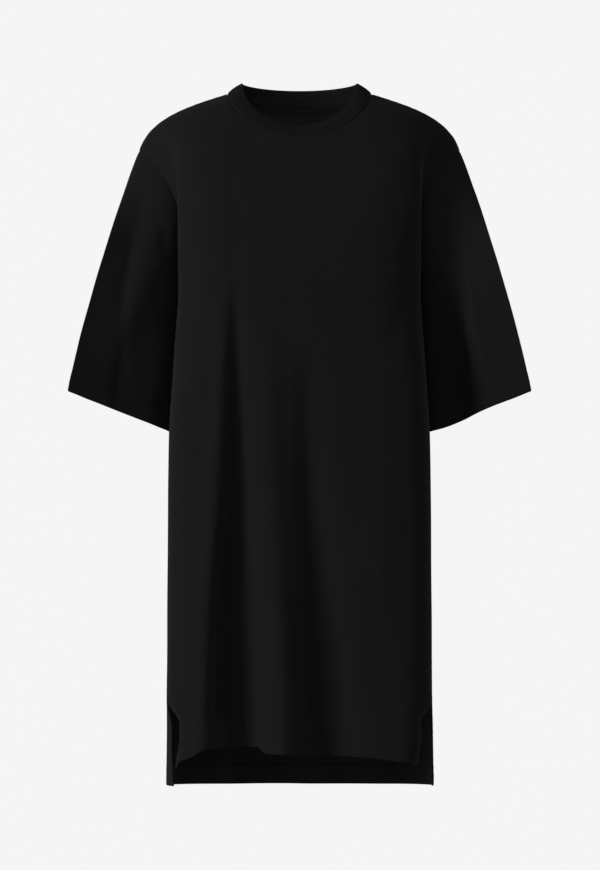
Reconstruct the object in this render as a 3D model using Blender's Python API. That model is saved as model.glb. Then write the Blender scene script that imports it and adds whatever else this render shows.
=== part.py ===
"""T-shirt dress, worn form with no wearer: front, back, two drop-shoulder sleeves, neckband and neck tape.

Frame: +Z up, the front faces -Y, the wearer's right is at -X. The origin lies midway between the
neck ends of the two shoulder seams, where the shoulders carry the dress. Sizes are in millimetres
and are turned into metres when a mesh is made.

Every panel is a grid of points on one outer surface. The wall is that grid and a second one, moved
in along the surface's normals. Normals are shared along seams, so that walls meet squarely there.
"""
import math
from collections import namedtuple

import bpy
import numpy as np

MM = 0.001

# Cloth
JERSEY_WALL = 1.4
RIB_WALL = 2.4
TAPE_WALL = 1.0
SEAM_GAP = 0.3

# Body lengths, measured down from the neck ends of the shoulder seams
UNDERARM_HEIGHT = -262.0
SLIT_TOP = -828.0
BACK_HEM = -945.0
SIDE_AXIS_Y = -18.0  # depth at which the body is widest

# Grid
COLUMNS = 36
NECK_COLUMNS = 16
YOKE_ROWS = 12
BODY_ROWS = 16
FRONT_SLIT_ROWS = 3
BACK_SLIT_ROWS = 4
SLEEVE_ROWS = 11
NECK_SHARE = NECK_COLUMNS / COLUMNS
HALVINGS = 24  # steps of the search for a column of the uncut body
FURTHEST_COLUMN = 0.7  # outer limit of that search
NECK_DRAW = 3.0  # how late the columns draw together towards the neckline
FAN_SPREAD = 0.8  # how far columns swing out round the neckline's sides
FAN_REACH = 0.16

FRONT, BACK = -1, 1
SECTION_POWERS = {FRONT: 3.6, BACK: 2.6}  # of the body's level sections: 2 is an ellipse, more is squarer

# One row for each level section of the body. seams: degrees that each side seam lies in front of the
# body's widest line.
Section = namedtuple("Section", "height half_width front_depth back_depth seam_right seam_left")
BODY_SECTIONS = (
    Section(-262, 166.0, 98, 130, -6, -6),
    Section(-364, 171.5, 101, 133, -2, -3),
    Section(-460, 178.0, 102, 134, 4, 0),
    Section(-640, 180.0, 101, 133, 12, 3),
    Section(-828, 181.2, 100, 132, 16, 5),
    Section(-945, 182.0, 100, 133, 16, 5),
)

# One row for each hanging fold of a panel. across: x of its deepest line at its top and at the hem.
# top: height where it begins. relief: how far it moves the cloth to the back (-) or the front (+) at
# the hem. right and left: its half widths there, towards -X and +X. narrow: their share at its top.
Fold = namedtuple("Fold", "across_top across_hem top relief right left narrow")
FRONT_FOLDS = (
    Fold(-87, -84, -255, -25, 25, 36, 0.30),
    Fold(-104, -133, -265, 11, 24, 25, 0.45),
    Fold(-40, -20, -300, 14, 26, 22, 0.60),
    Fold(8, 40, -350, -19, 30, 44, 0.45),
    Fold(70, 112, -420, -3, 40, 30, 0.70),
)
BACK_FOLDS = (
    Fold(-58, -96, -330, -15, 34, 28, 0.40),
    Fold(-14, -38, -420, 9, 26, 32, 0.50),
    Fold(12, 22, -300, -18, 26, 38, 0.35),
    Fold(70, 104, -380, -12, 36, 28, 0.45),
    Fold(100, 140, -460, 5, 20, 26, 0.60),
)

FOLD_FREE_EDGE = 0.16  # share of the half panel, from a side seam, over which folds grow

# One row for each point of the front hem: share of the way across (-1 to 1) and height.
HemPoint = namedtuple("HemPoint", "across height")
FRONT_HEM = (
    HemPoint(-1.00, -921.5),
    HemPoint(-0.94, -918),
    HemPoint(-0.87, -912),
    HemPoint(-0.78, -905),
    HemPoint(-0.70, -899),
    HemPoint(-0.44, -892),
    HemPoint(-0.39, -899),
    HemPoint(-0.15, -902),
    HemPoint(0.22, -903),
    HemPoint(0.50, -906.5),
    HemPoint(0.75, -915),
    HemPoint(1.00, -917),
)

# One row for each slit edge: how far it leaves its seam line half way down and at the hem.
# out: away from the body's axis, ahead: towards the front.
SlitEdge = namedtuple("SlitEdge", "side across out_mid ahead_mid out_hem ahead_hem")
SLIT_EDGES = (
    SlitEdge(FRONT, -1, -5.0, 8.5, 3.0, -1.0),
    SlitEdge(BACK, -1, 1.5, -2.5, -4.5, 2.5),
    SlitEdge(FRONT, 1, -12.0, 22.0, -17.0, 44.0),
    SlitEdge(BACK, 1, 0.5, 2.0, 1.0, 6.0),
)
SLIT_REACH = 0.13  # share of the half panel over which a slit edge's movement fades out

# Neckline seam and neckband. drop: from the shoulder points to the neckline's middle. rise: how far
# the body would stand above the shoulder points there with no neckline cut. top: the band's top edge.
NECK_HALF_WIDTH = 99.0
SHOULDER_POINT_Y = 8.0
Neck = namedtuple("Neck", "drop drop_power rise top_y top_drop top_power")
NECKS = {
    FRONT: Neck(61, 1.25, 20, -67.5, 59.0, 1.12),
    BACK: Neck(18, 1.30, 32, 65.0, 9.5, 1.30),
}
RIB_TOP_HALF_WIDTH = 78.5
RIB_TOP_Y = 6.0
RIB_TOP_HEIGHT = 15.0
# One row for each corner of the neckband's profile, round from its outer foot. up: share of the band's
# width. out: distance from the line between its two edges.
RibCorner = namedtuple("RibCorner", "up out")
RIB_PROFILE = (
    RibCorner(0.0, 0.0),
    RibCorner(0.35, 1.3),
    RibCorner(0.75, 1.05),
    RibCorner(0.97, -0.2),
    RibCorner(1.0, -RIB_WALL / 2),
    RibCorner(0.97, 0.2 - RIB_WALL),
    RibCorner(0.55, 0.8 - RIB_WALL),
    RibCorner(0.05, -RIB_WALL),
)
TAPE_WIDTH = 7.0
TAPE_LIFT = 0.45  # between the tape and the back panel
TAPE_END_COLUMNS = 2  # columns of the neckline that the tape leaves free at each shoulder

# Shoulder seam: a Bezier from the shoulder point to the drop-shoulder armhole, as (x, z)
SHOULDER_SEAM = ((99.0, 0.0), (150.0, -16.0), (206.0, -32.0), (219.5, -78.0))
SHOULDER_TIP_Y = 6.0
ARMHOLE_DEPTH = {FRONT: 58.0, BACK: 56.0}  # how far the armhole bows forward and back
# Shares of the half panel, from the armhole, over which its effects die away: the bow, its slower
# climb, and its later way out to the shoulder tip
ARMHOLE_REACH = {FRONT: 0.30, BACK: 0.34}
ARMHOLE_SQUARE = 0.13
DRIFT_REACH = 0.38
BOW_START = 0.5  # radians above the underarm over which the bow grows away from the armhole

# Sleeve: its lengthwise lines are Beziers from the armhole to the hem. A pull is the way (x, y, z)
# along the line's tangent at that end, for the outermost and the innermost line.
SLEEVE_OUTER_PULL = (39.0, -70.0, -101.0)
SLEEVE_INNER_PULL = (1.0, 0.0, -62.0)
HEM_OUTER_PULL = (16.6, -3.0, -90.0)
HEM_INNER_PULL = (3.0, 0.0, -66.0)
HEM_OUTER_END = (316.5, -406.5)
HEM_INNER_END = (171.5, -463.5)
HEM_CENTRE_Y = -18.0
HEM_HALF_DEPTH = 33.0
HEM_TURN = 17.0  # degrees that the outer end is swung forward
HEM_POWER = 3.5  # of the sleeve hem's outline
BODY_CLEARANCE = 1.5  # between the sleeve and the body's side

# One row for each soft fold of a sleeve. at: degrees round the sleeve from the underarm over the
# front. relief: out (+) or in (-) at the hem. start: share of the sleeve's length where it begins.
SleeveFold = namedtuple("SleeveFold", "at_top at_hem width start relief")
SLEEVE_FOLDS = {
    "right": (
        SleeveFold(58, 50, 14, 0.05, -6),
        SleeveFold(74, 71, 14, 0.10, 5),
        SleeveFold(94, 92, 16, 0.10, -6),
        SleeveFold(300, 296, 20, 0.10, -8),
        SleeveFold(262, 258, 18, 0.20, 4),
    ),
    "left": (
        SleeveFold(76, 68, 24, 0.0, -15),
        SleeveFold(112, 106, 18, 0.10, 4),
        SleeveFold(292, 288, 22, 0.05, -9),
        SleeveFold(248, 252, 18, 0.20, 4),
    ),
}

BLACK_JERSEY = (0.010, 0.010, 0.011)
BLACK_RIB = (0.009, 0.009, 0.010)
BLACK_TAPE = (0.014, 0.014, 0.015)


def remove_all_objects():
    for thing in list(bpy.data.objects):
        bpy.data.objects.remove(thing, do_unlink=True)


# ---------------------------------------------------------------- small curves


def ease(share):
    """0 to 1 with level ends."""
    share = min(max(share, 0.0), 1.0)
    return share * share * (3 - 2 * share)


def mix(first, last, share):
    return first + (last - first) * share


def bezier(points, share):
    rest = 1 - share
    weights = (rest**3, 3 * rest**2 * share, 3 * rest * share**2, share**3)
    return sum(w * np.array(p, dtype=float) for w, p in zip(weights, points))


def between(rows, key, column, at):
    """A smooth curve through one column of a table, level at both ends."""
    keys = [getattr(row, key) for row in rows]
    values = [getattr(row, column) for row in rows]
    if keys[0] > keys[-1]:
        keys, values = keys[::-1], values[::-1]
    at = min(max(at, keys[0]), keys[-1])
    last = len(keys) - 1
    k = max(i for i in range(last) if keys[i] <= at)

    def slope(i):
        if i in (0, last):
            return 0.0
        return (values[i + 1] - values[i - 1]) / (keys[i + 1] - keys[i - 1])

    width = keys[k + 1] - keys[k]
    s = (at - keys[k]) / width
    return (
        (2 * s**3 - 3 * s**2 + 1) * values[k]
        + (s**3 - 2 * s**2 + s) * width * slope(k)
        + (3 * s**2 - 2 * s**3) * values[k + 1]
        + (s**3 - s**2) * width * slope(k + 1)
    )


# ---------------------------------------------------------------- body surface


def body_section(height):
    return {
        name: between(BODY_SECTIONS, "height", name, height)
        for name in Section._fields
        if name != "height"
    }


def seam_azimuths(section):
    """Angles of the right and left side seams, from the front towards +X, in radians."""
    return (
        -math.radians(90 - section["seam_right"]),
        math.radians(90 - section["seam_left"]),
    )


def section_point(section, azimuth):
    side, depth = (FRONT, "front_depth") if math.cos(azimuth) > 0 else (BACK, "back_depth")
    power = SECTION_POWERS[side]
    across = (abs(math.sin(azimuth)) / section["half_width"]) ** power
    along = (abs(math.cos(azimuth)) / section[depth]) ** power
    radius = (across + along) ** (-1 / power)
    return radius * math.sin(azimuth), SIDE_AXIS_Y - radius * math.cos(azimuth)


def panel_azimuth(side, across, section):
    right, left = seam_azimuths(section)
    if side == BACK:
        right, left = right, left - 2 * math.pi
    return mix(right, left, (across + 1) / 2)


def hang_share(fold, height):
    """How far a fold has opened at a height: 0 at its top, 1 at the hem."""
    return min(max((height - fold.top) / (BACK_HEM - fold.top), 0.0), 1.0)


def fold_relief(side, across, x, height):
    """How far the folds move the cloth out at a place. They die away at the side seams."""
    total = 0.0
    for fold in FRONT_FOLDS if side == FRONT else BACK_FOLDS:
        share = hang_share(fold, height)
        centre = mix(fold.across_top, fold.across_hem, ease(share))
        widen = mix(fold.narrow, 1.0, share)
        width = (fold.right if x < centre else fold.left) * widen
        total += fold.relief * share**0.8 * math.exp(-(((x - centre) / width) ** 2))
    return total * ease((1 - abs(across)) / FOLD_FREE_EDGE)


def hem_height(side, across):
    if side == BACK:
        return BACK_HEM
    return between(FRONT_HEM, "across", "height", across)


def skirt_point(side, across, height):
    """A point of the body below the underarm."""
    section = body_section(height)
    x, y = section_point(section, panel_azimuth(side, across, section))
    y += side * fold_relief(side, across, x, height)
    if height < SLIT_TOP:
        x, y = slit_shift(side, across, height, x, y)
    return np.array([x, y, height])


def slit_shift(side, across, height, x, y):
    """Swings a slit's free edge away from the line of the side seam."""
    down = (SLIT_TOP - height) / (SLIT_TOP - hem_height(side, across))
    for edge in SLIT_EDGES:
        if edge.side == side and edge.across * across > 0:
            near = math.exp(-(((1 - abs(across)) / SLIT_REACH) ** 2))
            to_mid, to_hem = ease(min(down * 2, 1.0)), ease(max(down * 2 - 1, 0.0))
            out = to_mid * mix(edge.out_mid, edge.out_hem, to_hem)
            ahead = to_mid * mix(edge.ahead_mid, edge.ahead_hem, to_hem)
            x += edge.across * out * near
            y -= ahead * near
    return x, y


def neck_rise(side, x):
    """How far the uncut body stands above the shoulder points, under the neckline's hole."""
    share = min(abs(x) / NECK_HALF_WIDTH, 1.0)
    return NECKS[side].rise * math.cos(share * math.pi / 2) ** 2


def uncut_point(side, across, angle):
    """A point of the body above the underarm, as if it had no neckline. angle: 0 at the underarm,
    a quarter turn on the shoulder line."""
    foot = skirt_point(side, across, UNDERARM_HEIGHT)
    beyond_neck = (abs(across) - NECK_SHARE) / (1 - NECK_SHARE)
    if beyond_neck < 0:
        top = (NECK_HALF_WIDTH * abs(across) / NECK_SHARE, SHOULDER_POINT_Y, 0.0)
    else:
        x, z = bezier(SHOULDER_SEAM, beyond_neck)
        top = (x, mix(SHOULDER_POINT_Y, SHOULDER_TIP_Y, beyond_neck), z)
    from_edge = 1 - abs(across)
    square = math.exp(-((from_edge / ARMHOLE_SQUARE) ** 2))
    late = math.exp(-((from_edge / DRIFT_REACH) ** 3))
    bow = ARMHOLE_DEPTH[side] * math.exp(-from_edge / ARMHOLE_REACH[side])
    up = angle / (math.pi / 2)
    climb = mix(math.sin(angle), math.sin(angle) ** 2, square)
    x = mix(foot[0], math.copysign(top[0], across), mix(ease(up), ease(2 * up - 1), late))
    bow *= math.sin(2 * angle) * mix(ease(angle / BOW_START), 1.0, math.sqrt(square))
    y = mix(top[1], foot[1], math.cos(angle)) + side * bow
    return np.array([x, y, mix(foot[2], top[2] + neck_rise(side, x), climb)])


def fanned(across, up):
    """Columns swing out round the neckline's sides, so that they meet it at a fair angle."""
    near = math.exp(-(((abs(across) - NECK_SHARE) / FAN_REACH) ** 2))
    return across + math.copysign(FAN_SPREAD * near * up**3 * (1 - up), across)


def yoke_point(side, across, up):
    """A point of the body above the underarm. up: 0 at the underarm, 1 at the top edge."""
    if abs(across) >= NECK_SHARE:
        return uncut_point(side, fanned(across, up), up * math.pi / 2)
    turn = across / NECK_SHARE * math.pi / 2
    neck = NECKS[side]
    end_x = NECK_HALF_WIDTH * math.sin(turn)
    end_z = -neck.drop * math.cos(turn) ** neck.drop_power
    climb = (end_z - UNDERARM_HEIGHT) / (neck_rise(side, end_x) - UNDERARM_HEIGHT)
    leave = math.asin(climb)
    angle = up * leave
    draw = end_x - uncut_point(side, across, leave)[0]
    x = uncut_point(side, fanned(across, up), angle)[0] + draw * up**NECK_DRAW
    low, high = -FURTHEST_COLUMN, FURTHEST_COLUMN
    for _ in range(HALVINGS):
        middle = (low + high) / 2
        if uncut_point(side, middle, angle)[0] < x:
            low = middle
        else:
            high = middle
    return uncut_point(side, (low + high) / 2, angle)


def neckline_point(side, turn):
    """Seam between panel and neckband. turn: -1 and 1 at the shoulder points, 0 in the middle."""
    return yoke_point(side, turn * NECK_SHARE, 1.0)


def panel_grid(side):
    """Outer points of a panel, a row for each level from the hem up."""
    slit_rows = FRONT_SLIT_ROWS if side == FRONT else BACK_SLIT_ROWS
    columns = [-1 + 2 * i / COLUMNS for i in range(COLUMNS + 1)]
    rows = []
    for k in range(slit_rows):
        share = k / slit_rows
        rows.append(
            [skirt_point(side, t, mix(hem_height(side, t), SLIT_TOP, share)) for t in columns]
        )
    for k in range(BODY_ROWS):
        height = mix(SLIT_TOP, UNDERARM_HEIGHT, k / BODY_ROWS)
        rows.append([skirt_point(side, t, height) for t in columns])
    for k in range(YOKE_ROWS + 1):
        rows.append([yoke_point(side, t, k / YOKE_ROWS) for t in columns])
    return np.array(rows)


# ---------------------------------------------------------------- sleeve surface


def armhole_ring(panels, hand):
    """The armhole's points from the underarm over the front, the shoulder tip and the back."""
    column = 0 if hand < 0 else COLUMNS
    front = panels[FRONT][-(YOKE_ROWS + 1) :, column]
    back = panels[BACK][-(YOKE_ROWS + 1) :, column]
    return np.concatenate([front[:-1], back[:0:-1]])


def squared_off(wave):
    """A sine or cosine of a round outline, changed into that of the sleeve hem's squarer one."""
    return math.copysign(abs(wave) ** (2 / HEM_POWER), wave)


def sleeve_hem_point(angle, hand):
    """The sleeve's lower edge. angle: 0 at the inner end, half a turn at the outer end."""
    inner, outer = np.array(HEM_INNER_END), np.array(HEM_OUTER_END)
    half = np.linalg.norm(outer - inner) / 2
    along = (outer - inner) / (2 * half)
    turn = math.radians(HEM_TURN)
    cosine, sine = squared_off(math.cos(angle)), squared_off(math.sin(angle))
    reach = -half * cosine * math.cos(turn) - HEM_HALF_DEPTH * sine * math.sin(turn)
    dual = HEM_POWER / (HEM_POWER - 1)
    widest = (half * math.cos(turn)) ** dual + (HEM_HALF_DEPTH * math.sin(turn)) ** dual
    reach *= half / widest ** (1 / dual)
    depth = half * cosine * math.sin(turn) - HEM_HALF_DEPTH * sine * math.cos(turn)
    x, z = (inner + outer) / 2 + along * reach
    return np.array([hand * x, HEM_CENTRE_Y + depth, z])


def keep_off_body(point, clearance):
    """Moves a sleeve point out of the body's side, to a clearance from it."""
    x, y, height = point
    section = body_section(height)
    if height > UNDERARM_HEIGHT:
        least_x = section["half_width"] + clearance
        return np.array([math.copysign(max(abs(x), least_x), x), y, height])
    azimuth = math.atan2(x, SIDE_AXIS_Y - y)
    edge_x, edge_y = section_point(section, azimuth)
    radius = math.hypot(edge_x, edge_y - SIDE_AXIS_Y)
    reach = math.hypot(x, y - SIDE_AXIS_Y)
    least = radius + clearance
    if reach >= least:
        return point
    return np.array([x * least / reach, SIDE_AXIS_Y + (y - SIDE_AXIS_Y) * least / reach, height])


def sleeve_grid(panels, hand, folds):
    """Outer points of a sleeve, a ring for each level from the armhole down."""
    ring = armhole_ring(panels, hand)
    around = len(ring)
    rows = []
    for k in range(SLEEVE_ROWS + 1):
        down = k / SLEEVE_ROWS
        row = []
        for i, start in enumerate(ring):
            angle = 2 * math.pi * i / around
            outer = (1 - math.cos(angle)) / 2
            pull = [mix(a, b, outer) for a, b in zip(SLEEVE_INNER_PULL, SLEEVE_OUTER_PULL)]
            pull[1] *= outer
            rest = [mix(a, b, outer) for a, b in zip(HEM_INNER_PULL, HEM_OUTER_PULL)]
            end = sleeve_hem_point(angle, hand)
            first = start + np.array([hand * pull[0], pull[1], pull[2]])
            last = end - np.array([hand * rest[0], rest[1], rest[2]])
            row.append(bezier((start, first, last, end), down))
        rows.append(row)
    rows = np.array(rows)
    rows += ring_normals(rows)[..., :] * sleeve_relief(around, folds)[..., None]
    for k in range(1, SLEEVE_ROWS + 1):
        rows[k] = [keep_off_body(point, BODY_CLEARANCE) for point in rows[k]]
    return rows


def sleeve_relief(around, folds):
    relief = np.zeros((SLEEVE_ROWS + 1, around))
    for k in range(SLEEVE_ROWS + 1):
        down = k / SLEEVE_ROWS
        for fold in folds:
            opened = ease((down - fold.start) / (1 - fold.start)) ** 0.6
            centre = mix(fold.at_top, fold.at_hem, down)
            for i in range(around):
                away = (360 * i / around - centre + 180) % 360 - 180
                relief[k, i] += fold.relief * opened * math.exp(-((away / fold.width) ** 2))
    return relief


def ring_normals(rows):
    """Level outward directions of a stack of rings."""
    around = np.roll(rows, -1, axis=1) - np.roll(rows, 1, axis=1)
    down = np.gradient(rows, axis=0)
    normals = np.cross(around, down)
    normals /= np.linalg.norm(normals, axis=2, keepdims=True)
    out = rows - rows.mean(axis=1, keepdims=True)
    flip = np.sign((normals * out).sum(axis=(1, 2)))
    return normals * flip[:, None, None]


# ---------------------------------------------------------------- walls


def grid_quads(rows, columns, closed):
    """Corner indices of a grid's quads. closed: the last column joins the first."""
    last = columns if closed else columns - 1
    quads = []
    for j in range(rows - 1):
        for i in range(last):
            k = (i + 1) % columns
            quads.append((j * columns + i, j * columns + k, (j + 1) * columns + k, (j + 1) * columns + i))
    return quads


def outward_quads(points, quads, inside):
    """The same quads, wound so that they face away from a point inside."""
    total = 0.0
    for a, b, c, d in quads:
        normal = np.cross(points[c] - points[a], points[d] - points[b])
        total += normal @ (points[[a, b, c, d]].mean(axis=0) - inside)
    return quads if total > 0 else [quad[::-1] for quad in quads]


def vertex_normals(points, quads):
    normals = np.zeros_like(points)
    for quad in quads:
        a, b, c, d = quad
        normal = np.cross(points[c] - points[a], points[d] - points[b])
        for corner in quad:
            normals[corner] += normal
    return normals / np.linalg.norm(normals, axis=1, keepdims=True)


class Shell:
    """One panel: outer points, quads that face out, and the direction of its inside."""

    def __init__(self, rows, closed, inside):
        self.shape = rows.shape[:2]
        self.closed = closed
        self.points = rows.reshape(-1, 3).copy()
        quads = grid_quads(rows.shape[0], rows.shape[1], closed)
        self.quads = outward_quads(self.points, quads, inside)
        self.normals = vertex_normals(self.points, self.quads)
        self.inward = -self.normals
        self.folded = set()

    def edges(self):
        """Each border edge as (from, to), in the order of the quads."""
        seen = {}
        for quad in self.quads:
            for a, b in zip(quad, quad[1:] + quad[:1]):
                seen[(a, b)] = quad
        return [edge for edge in seen if edge[::-1] not in seen]

    def into_panel(self):
        """For each border point, the direction along the cloth away from the border."""
        inward = {}
        for a, b in self.edges():
            along = self.points[b] - self.points[a]
            for corner in (a, b):
                into = np.cross(self.normals[corner], along)
                inward[corner] = inward.get(corner, 0) + into / np.linalg.norm(into)
        return {corner: way / np.linalg.norm(way) for corner, way in inward.items()}


def share_normals(shells):
    """Along seams the walls take one inward direction, unless the cloth is folded back there."""
    places = {}
    for shell in shells:
        for corner in shell.into_panel():
            key = tuple(np.round(shell.points[corner], 3))
            places.setdefault(key, []).append((shell, corner))
    for meeting in places.values():
        normals = [shell.normals[corner] for shell, corner in meeting]
        shared = sum(normals)
        length = np.linalg.norm(shared)
        if len(meeting) < 2 or length < 0.2:
            if len(meeting) > 1:
                for shell, corner in meeting:
                    shell.folded.add(corner)
            continue
        shared = shared / length
        for (shell, corner), own in zip(meeting, normals):
            agree = ease(float(own @ shared) * 2.0 - 0.9)
            way = -mix(own, shared, agree)
            way /= np.linalg.norm(way)
            shell.inward[corner] = way / max(float(-way @ own), 0.7)


def open_seams(shells):
    """Draws every border half a seam gap back into its own panel."""
    for shell in shells:
        moves = shell.into_panel()
        for corner, way in moves.items():
            part = 2 * SEAM_GAP if corner in shell.folded else SEAM_GAP / 2
            shell.points[corner] += way * SEAM_GAP / 2 - shell.normals[corner] * part


def wall(shell, thickness):
    """Points and faces of a closed wall: the shell, its inner copy and the rims between them."""
    outer = shell.points
    inner = outer + shell.inward * thickness
    count = len(outer)
    faces = list(shell.quads)
    faces += [tuple(count + k for k in quad[::-1]) for quad in shell.quads]
    faces += [(b, a, count + a, count + b) for a, b in shell.edges()]
    return np.concatenate([outer, inner]), faces


# ---------------------------------------------------------------- neckband and tape


def band_ring(side_points):
    """Front stations from the right shoulder point, then back stations from the left one."""
    return np.concatenate([side_points(FRONT)[:-1], side_points(BACK)[:0:-1]])


def neck_turns():
    return [-1 + 2 * i / NECK_COLUMNS for i in range(NECK_COLUMNS + 1)]


def rib_top_point(side, turn):
    neck = NECKS[side]
    angle = turn * math.pi / 2
    along = max(math.cos(angle), 0.0)
    seam_y, middle_y = neckline_point(side, turn)[1], neckline_point(side, 0.0)[1]
    depth = (seam_y - SHOULDER_POINT_Y) / (middle_y - SHOULDER_POINT_Y)
    return np.array(
        [
            RIB_TOP_HALF_WIDTH * math.sin(angle),
            mix(RIB_TOP_Y, neck.top_y, depth),
            RIB_TOP_HEIGHT - neck.top_drop * along**neck.top_power,
        ]
    )


def rib_wall():
    """The neckband: a doubled ring with a round fold at its top."""
    seam = band_ring(lambda side: np.array([neckline_point(side, t) for t in neck_turns()]))
    top = band_ring(lambda side: np.array([rib_top_point(side, t) for t in neck_turns()]))
    stations = len(seam)
    profile = []
    for i in range(stations):
        rise = top[i] - seam[i]
        width = np.linalg.norm(rise)
        rise /= width
        along = top[(i + 1) % stations] - top[i - 1]
        out = np.cross(along, rise)
        out /= np.linalg.norm(out)
        if out @ (seam[i] - seam.mean(axis=0)) < 0:
            out = -out
        foot = seam[i] + rise * SEAM_GAP - out * SEAM_GAP / 2
        profile.append([foot + rise * (width * up) + out * off for up, off in RIB_PROFILE])
    points = np.array(profile)
    steps = points.shape[1]
    flat = points.reshape(-1, 3)
    faces = []
    for i in range(stations):
        k = (i + 1) % stations
        for j in range(steps):
            m = (j + 1) % steps
            faces.append((i * steps + j, k * steps + j, k * steps + m, i * steps + m))
    return flat, face_outward(flat, faces)


def tape_wall(back_shell):
    """The tape inside the back neck, made from the back panel's inner points."""
    rows, columns = back_shell.shape
    first = (columns - 1 - NECK_COLUMNS) // 2
    inner = (back_shell.points + back_shell.inward * JERSEY_WALL).reshape(rows, columns, 3)
    ways = back_shell.inward.reshape(rows, columns, 3)
    profile = []
    for i in range(first + TAPE_END_COLUMNS, first + NECK_COLUMNS + 1 - TAPE_END_COLUMNS):
        edge, below = inner[-1, i], inner[-2, i]
        along = inner[-1, i + 1] - inner[-1, i - 1]
        along /= np.linalg.norm(along)
        drop = below - edge
        reach = np.linalg.norm(drop - along * (drop @ along))
        way = ways[-1, i] / np.linalg.norm(ways[-1, i])
        near = edge + drop * (SEAM_GAP / reach)
        far = edge + drop * ((SEAM_GAP + TAPE_WIDTH) / reach)
        lift, skin = way * TAPE_LIFT, way * TAPE_WALL
        profile.append([near + lift, far + lift, far + lift + skin, near + lift + skin])
    points = np.array(profile)
    flat = points.reshape(-1, 3)
    faces = []
    last = len(points) - 1
    for i in range(last):
        for j in range(4):
            m = (j + 1) % 4
            faces.append((i * 4 + j, (i + 1) * 4 + j, (i + 1) * 4 + m, i * 4 + m))
    faces.append((0, 1, 2, 3))
    faces.append(tuple(last * 4 + j for j in (3, 2, 1, 0)))
    return flat, face_outward(flat, faces)


def face_outward(points, faces):
    """Faces of a closed body, turned round if the volume they enclose comes out negative."""
    volume = 0.0
    for face in faces:
        for k in range(1, len(face) - 1):
            volume += points[face[0]] @ np.cross(points[face[k]], points[face[k + 1]])
    return faces if volume > 0 else [face[::-1] for face in faces]


# ---------------------------------------------------------------- objects


def cloth_material(name, colour, roughness):
    material = bpy.data.materials.new(name)
    material.use_nodes = True
    shader = material.node_tree.nodes["Principled BSDF"]
    shader.inputs["Base Color"].default_value = (*colour, 1.0)
    shader.inputs["Roughness"].default_value = roughness
    shader.inputs["Metallic"].default_value = 0.0
    return material


def triangles(points, faces):
    """Each quad split along its shorter diagonal, so that two walls of one grid stay parallel."""
    split = []
    for face in faces:
        if len(face) == 3:
            split.append(face)
            continue
        a, b, c, d = face
        if np.linalg.norm(points[a] - points[c]) <= np.linalg.norm(points[b] - points[d]):
            split += [(a, b, c), (a, c, d)]
        else:
            split += [(a, b, d), (b, c, d)]
    return split


def make_object(name, points, faces, material):
    mesh = bpy.data.meshes.new(name)
    mesh.from_pydata([tuple(p) for p in points * MM], [], triangles(points, faces))
    mesh.validate()
    mesh.shade_smooth()
    mesh.set_sharp_from_angle(angle=math.radians(40))
    thing = bpy.data.objects.new(name, mesh)
    thing.data.materials.append(material)
    bpy.context.collection.objects.link(thing)
    return thing


def build():
    remove_all_objects()
    panels = {side: panel_grid(side) for side in (FRONT, BACK)}
    sleeves = {
        "right": sleeve_grid(panels, -1, SLEEVE_FOLDS["right"]),
        "left": sleeve_grid(panels, 1, SLEEVE_FOLDS["left"]),
    }
    axis = np.array([0.0, 0.0, (BACK_HEM + UNDERARM_HEIGHT) / 2])
    front = Shell(panels[FRONT], False, axis)
    back = Shell(panels[BACK], False, axis)
    tubes = {
        hand: Shell(rows, True, rows.reshape(-1, 3).mean(axis=0)) for hand, rows in sleeves.items()
    }
    shells = (front, back, tubes["right"], tubes["left"])
    share_normals(shells)
    open_seams(shells)

    jersey = {
        name: cloth_material(name, BLACK_JERSEY, 0.85)
        for name in ("front_jersey", "back_jersey", "right_sleeve_jersey", "left_sleeve_jersey")
    }
    make_object("front_panel", *wall(front, JERSEY_WALL), jersey["front_jersey"])
    make_object("back_panel", *wall(back, JERSEY_WALL), jersey["back_jersey"])
    make_object("sleeve_right", *wall(tubes["right"], JERSEY_WALL), jersey["right_sleeve_jersey"])
    make_object("sleeve_left", *wall(tubes["left"], JERSEY_WALL), jersey["left_sleeve_jersey"])
    make_object("neck_rib", *rib_wall(), cloth_material("rib_knit", BLACK_RIB, 0.9))
    make_object("neck_tape", *tape_wall(back), cloth_material("neck_tape_twill", BLACK_TAPE, 0.8))


build()
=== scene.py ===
"""Black t-shirt dress in its worn, hollow form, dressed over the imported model.

Frame: +Z up, the front faces -Y, the wearer's right is at -X. Lengths in this file are millimetres,
measured from the point midway between the neck ends of the two shoulder seams, and become metres
when a mesh is made. Every panel is a fine grid of points close to its solid, with the creases,
seams, hems and stitches of the sewn garment. The front's main folds are deeper than the solid's,
its slits stand wider open and the sleeves' fronts are flatter.
"""

from __future__ import annotations

import logging
import math
from dataclasses import dataclass, field
from enum import Enum

import bpy
import numpy as np
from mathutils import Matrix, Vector

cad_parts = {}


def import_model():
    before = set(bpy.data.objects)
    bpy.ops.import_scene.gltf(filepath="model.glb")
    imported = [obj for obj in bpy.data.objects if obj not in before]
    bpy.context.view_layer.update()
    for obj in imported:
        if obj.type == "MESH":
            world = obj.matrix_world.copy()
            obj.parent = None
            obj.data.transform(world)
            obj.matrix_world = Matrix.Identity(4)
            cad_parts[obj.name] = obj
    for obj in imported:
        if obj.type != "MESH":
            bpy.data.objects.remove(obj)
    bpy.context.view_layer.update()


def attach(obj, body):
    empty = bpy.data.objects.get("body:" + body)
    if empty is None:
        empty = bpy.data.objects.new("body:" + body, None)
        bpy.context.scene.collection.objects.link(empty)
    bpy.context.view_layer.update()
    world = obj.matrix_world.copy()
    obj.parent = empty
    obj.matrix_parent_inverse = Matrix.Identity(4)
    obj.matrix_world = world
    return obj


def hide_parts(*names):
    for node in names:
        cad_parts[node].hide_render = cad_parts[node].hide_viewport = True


LOG = logging.getLogger("tshirt_dress")
MM = 0.001
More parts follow.
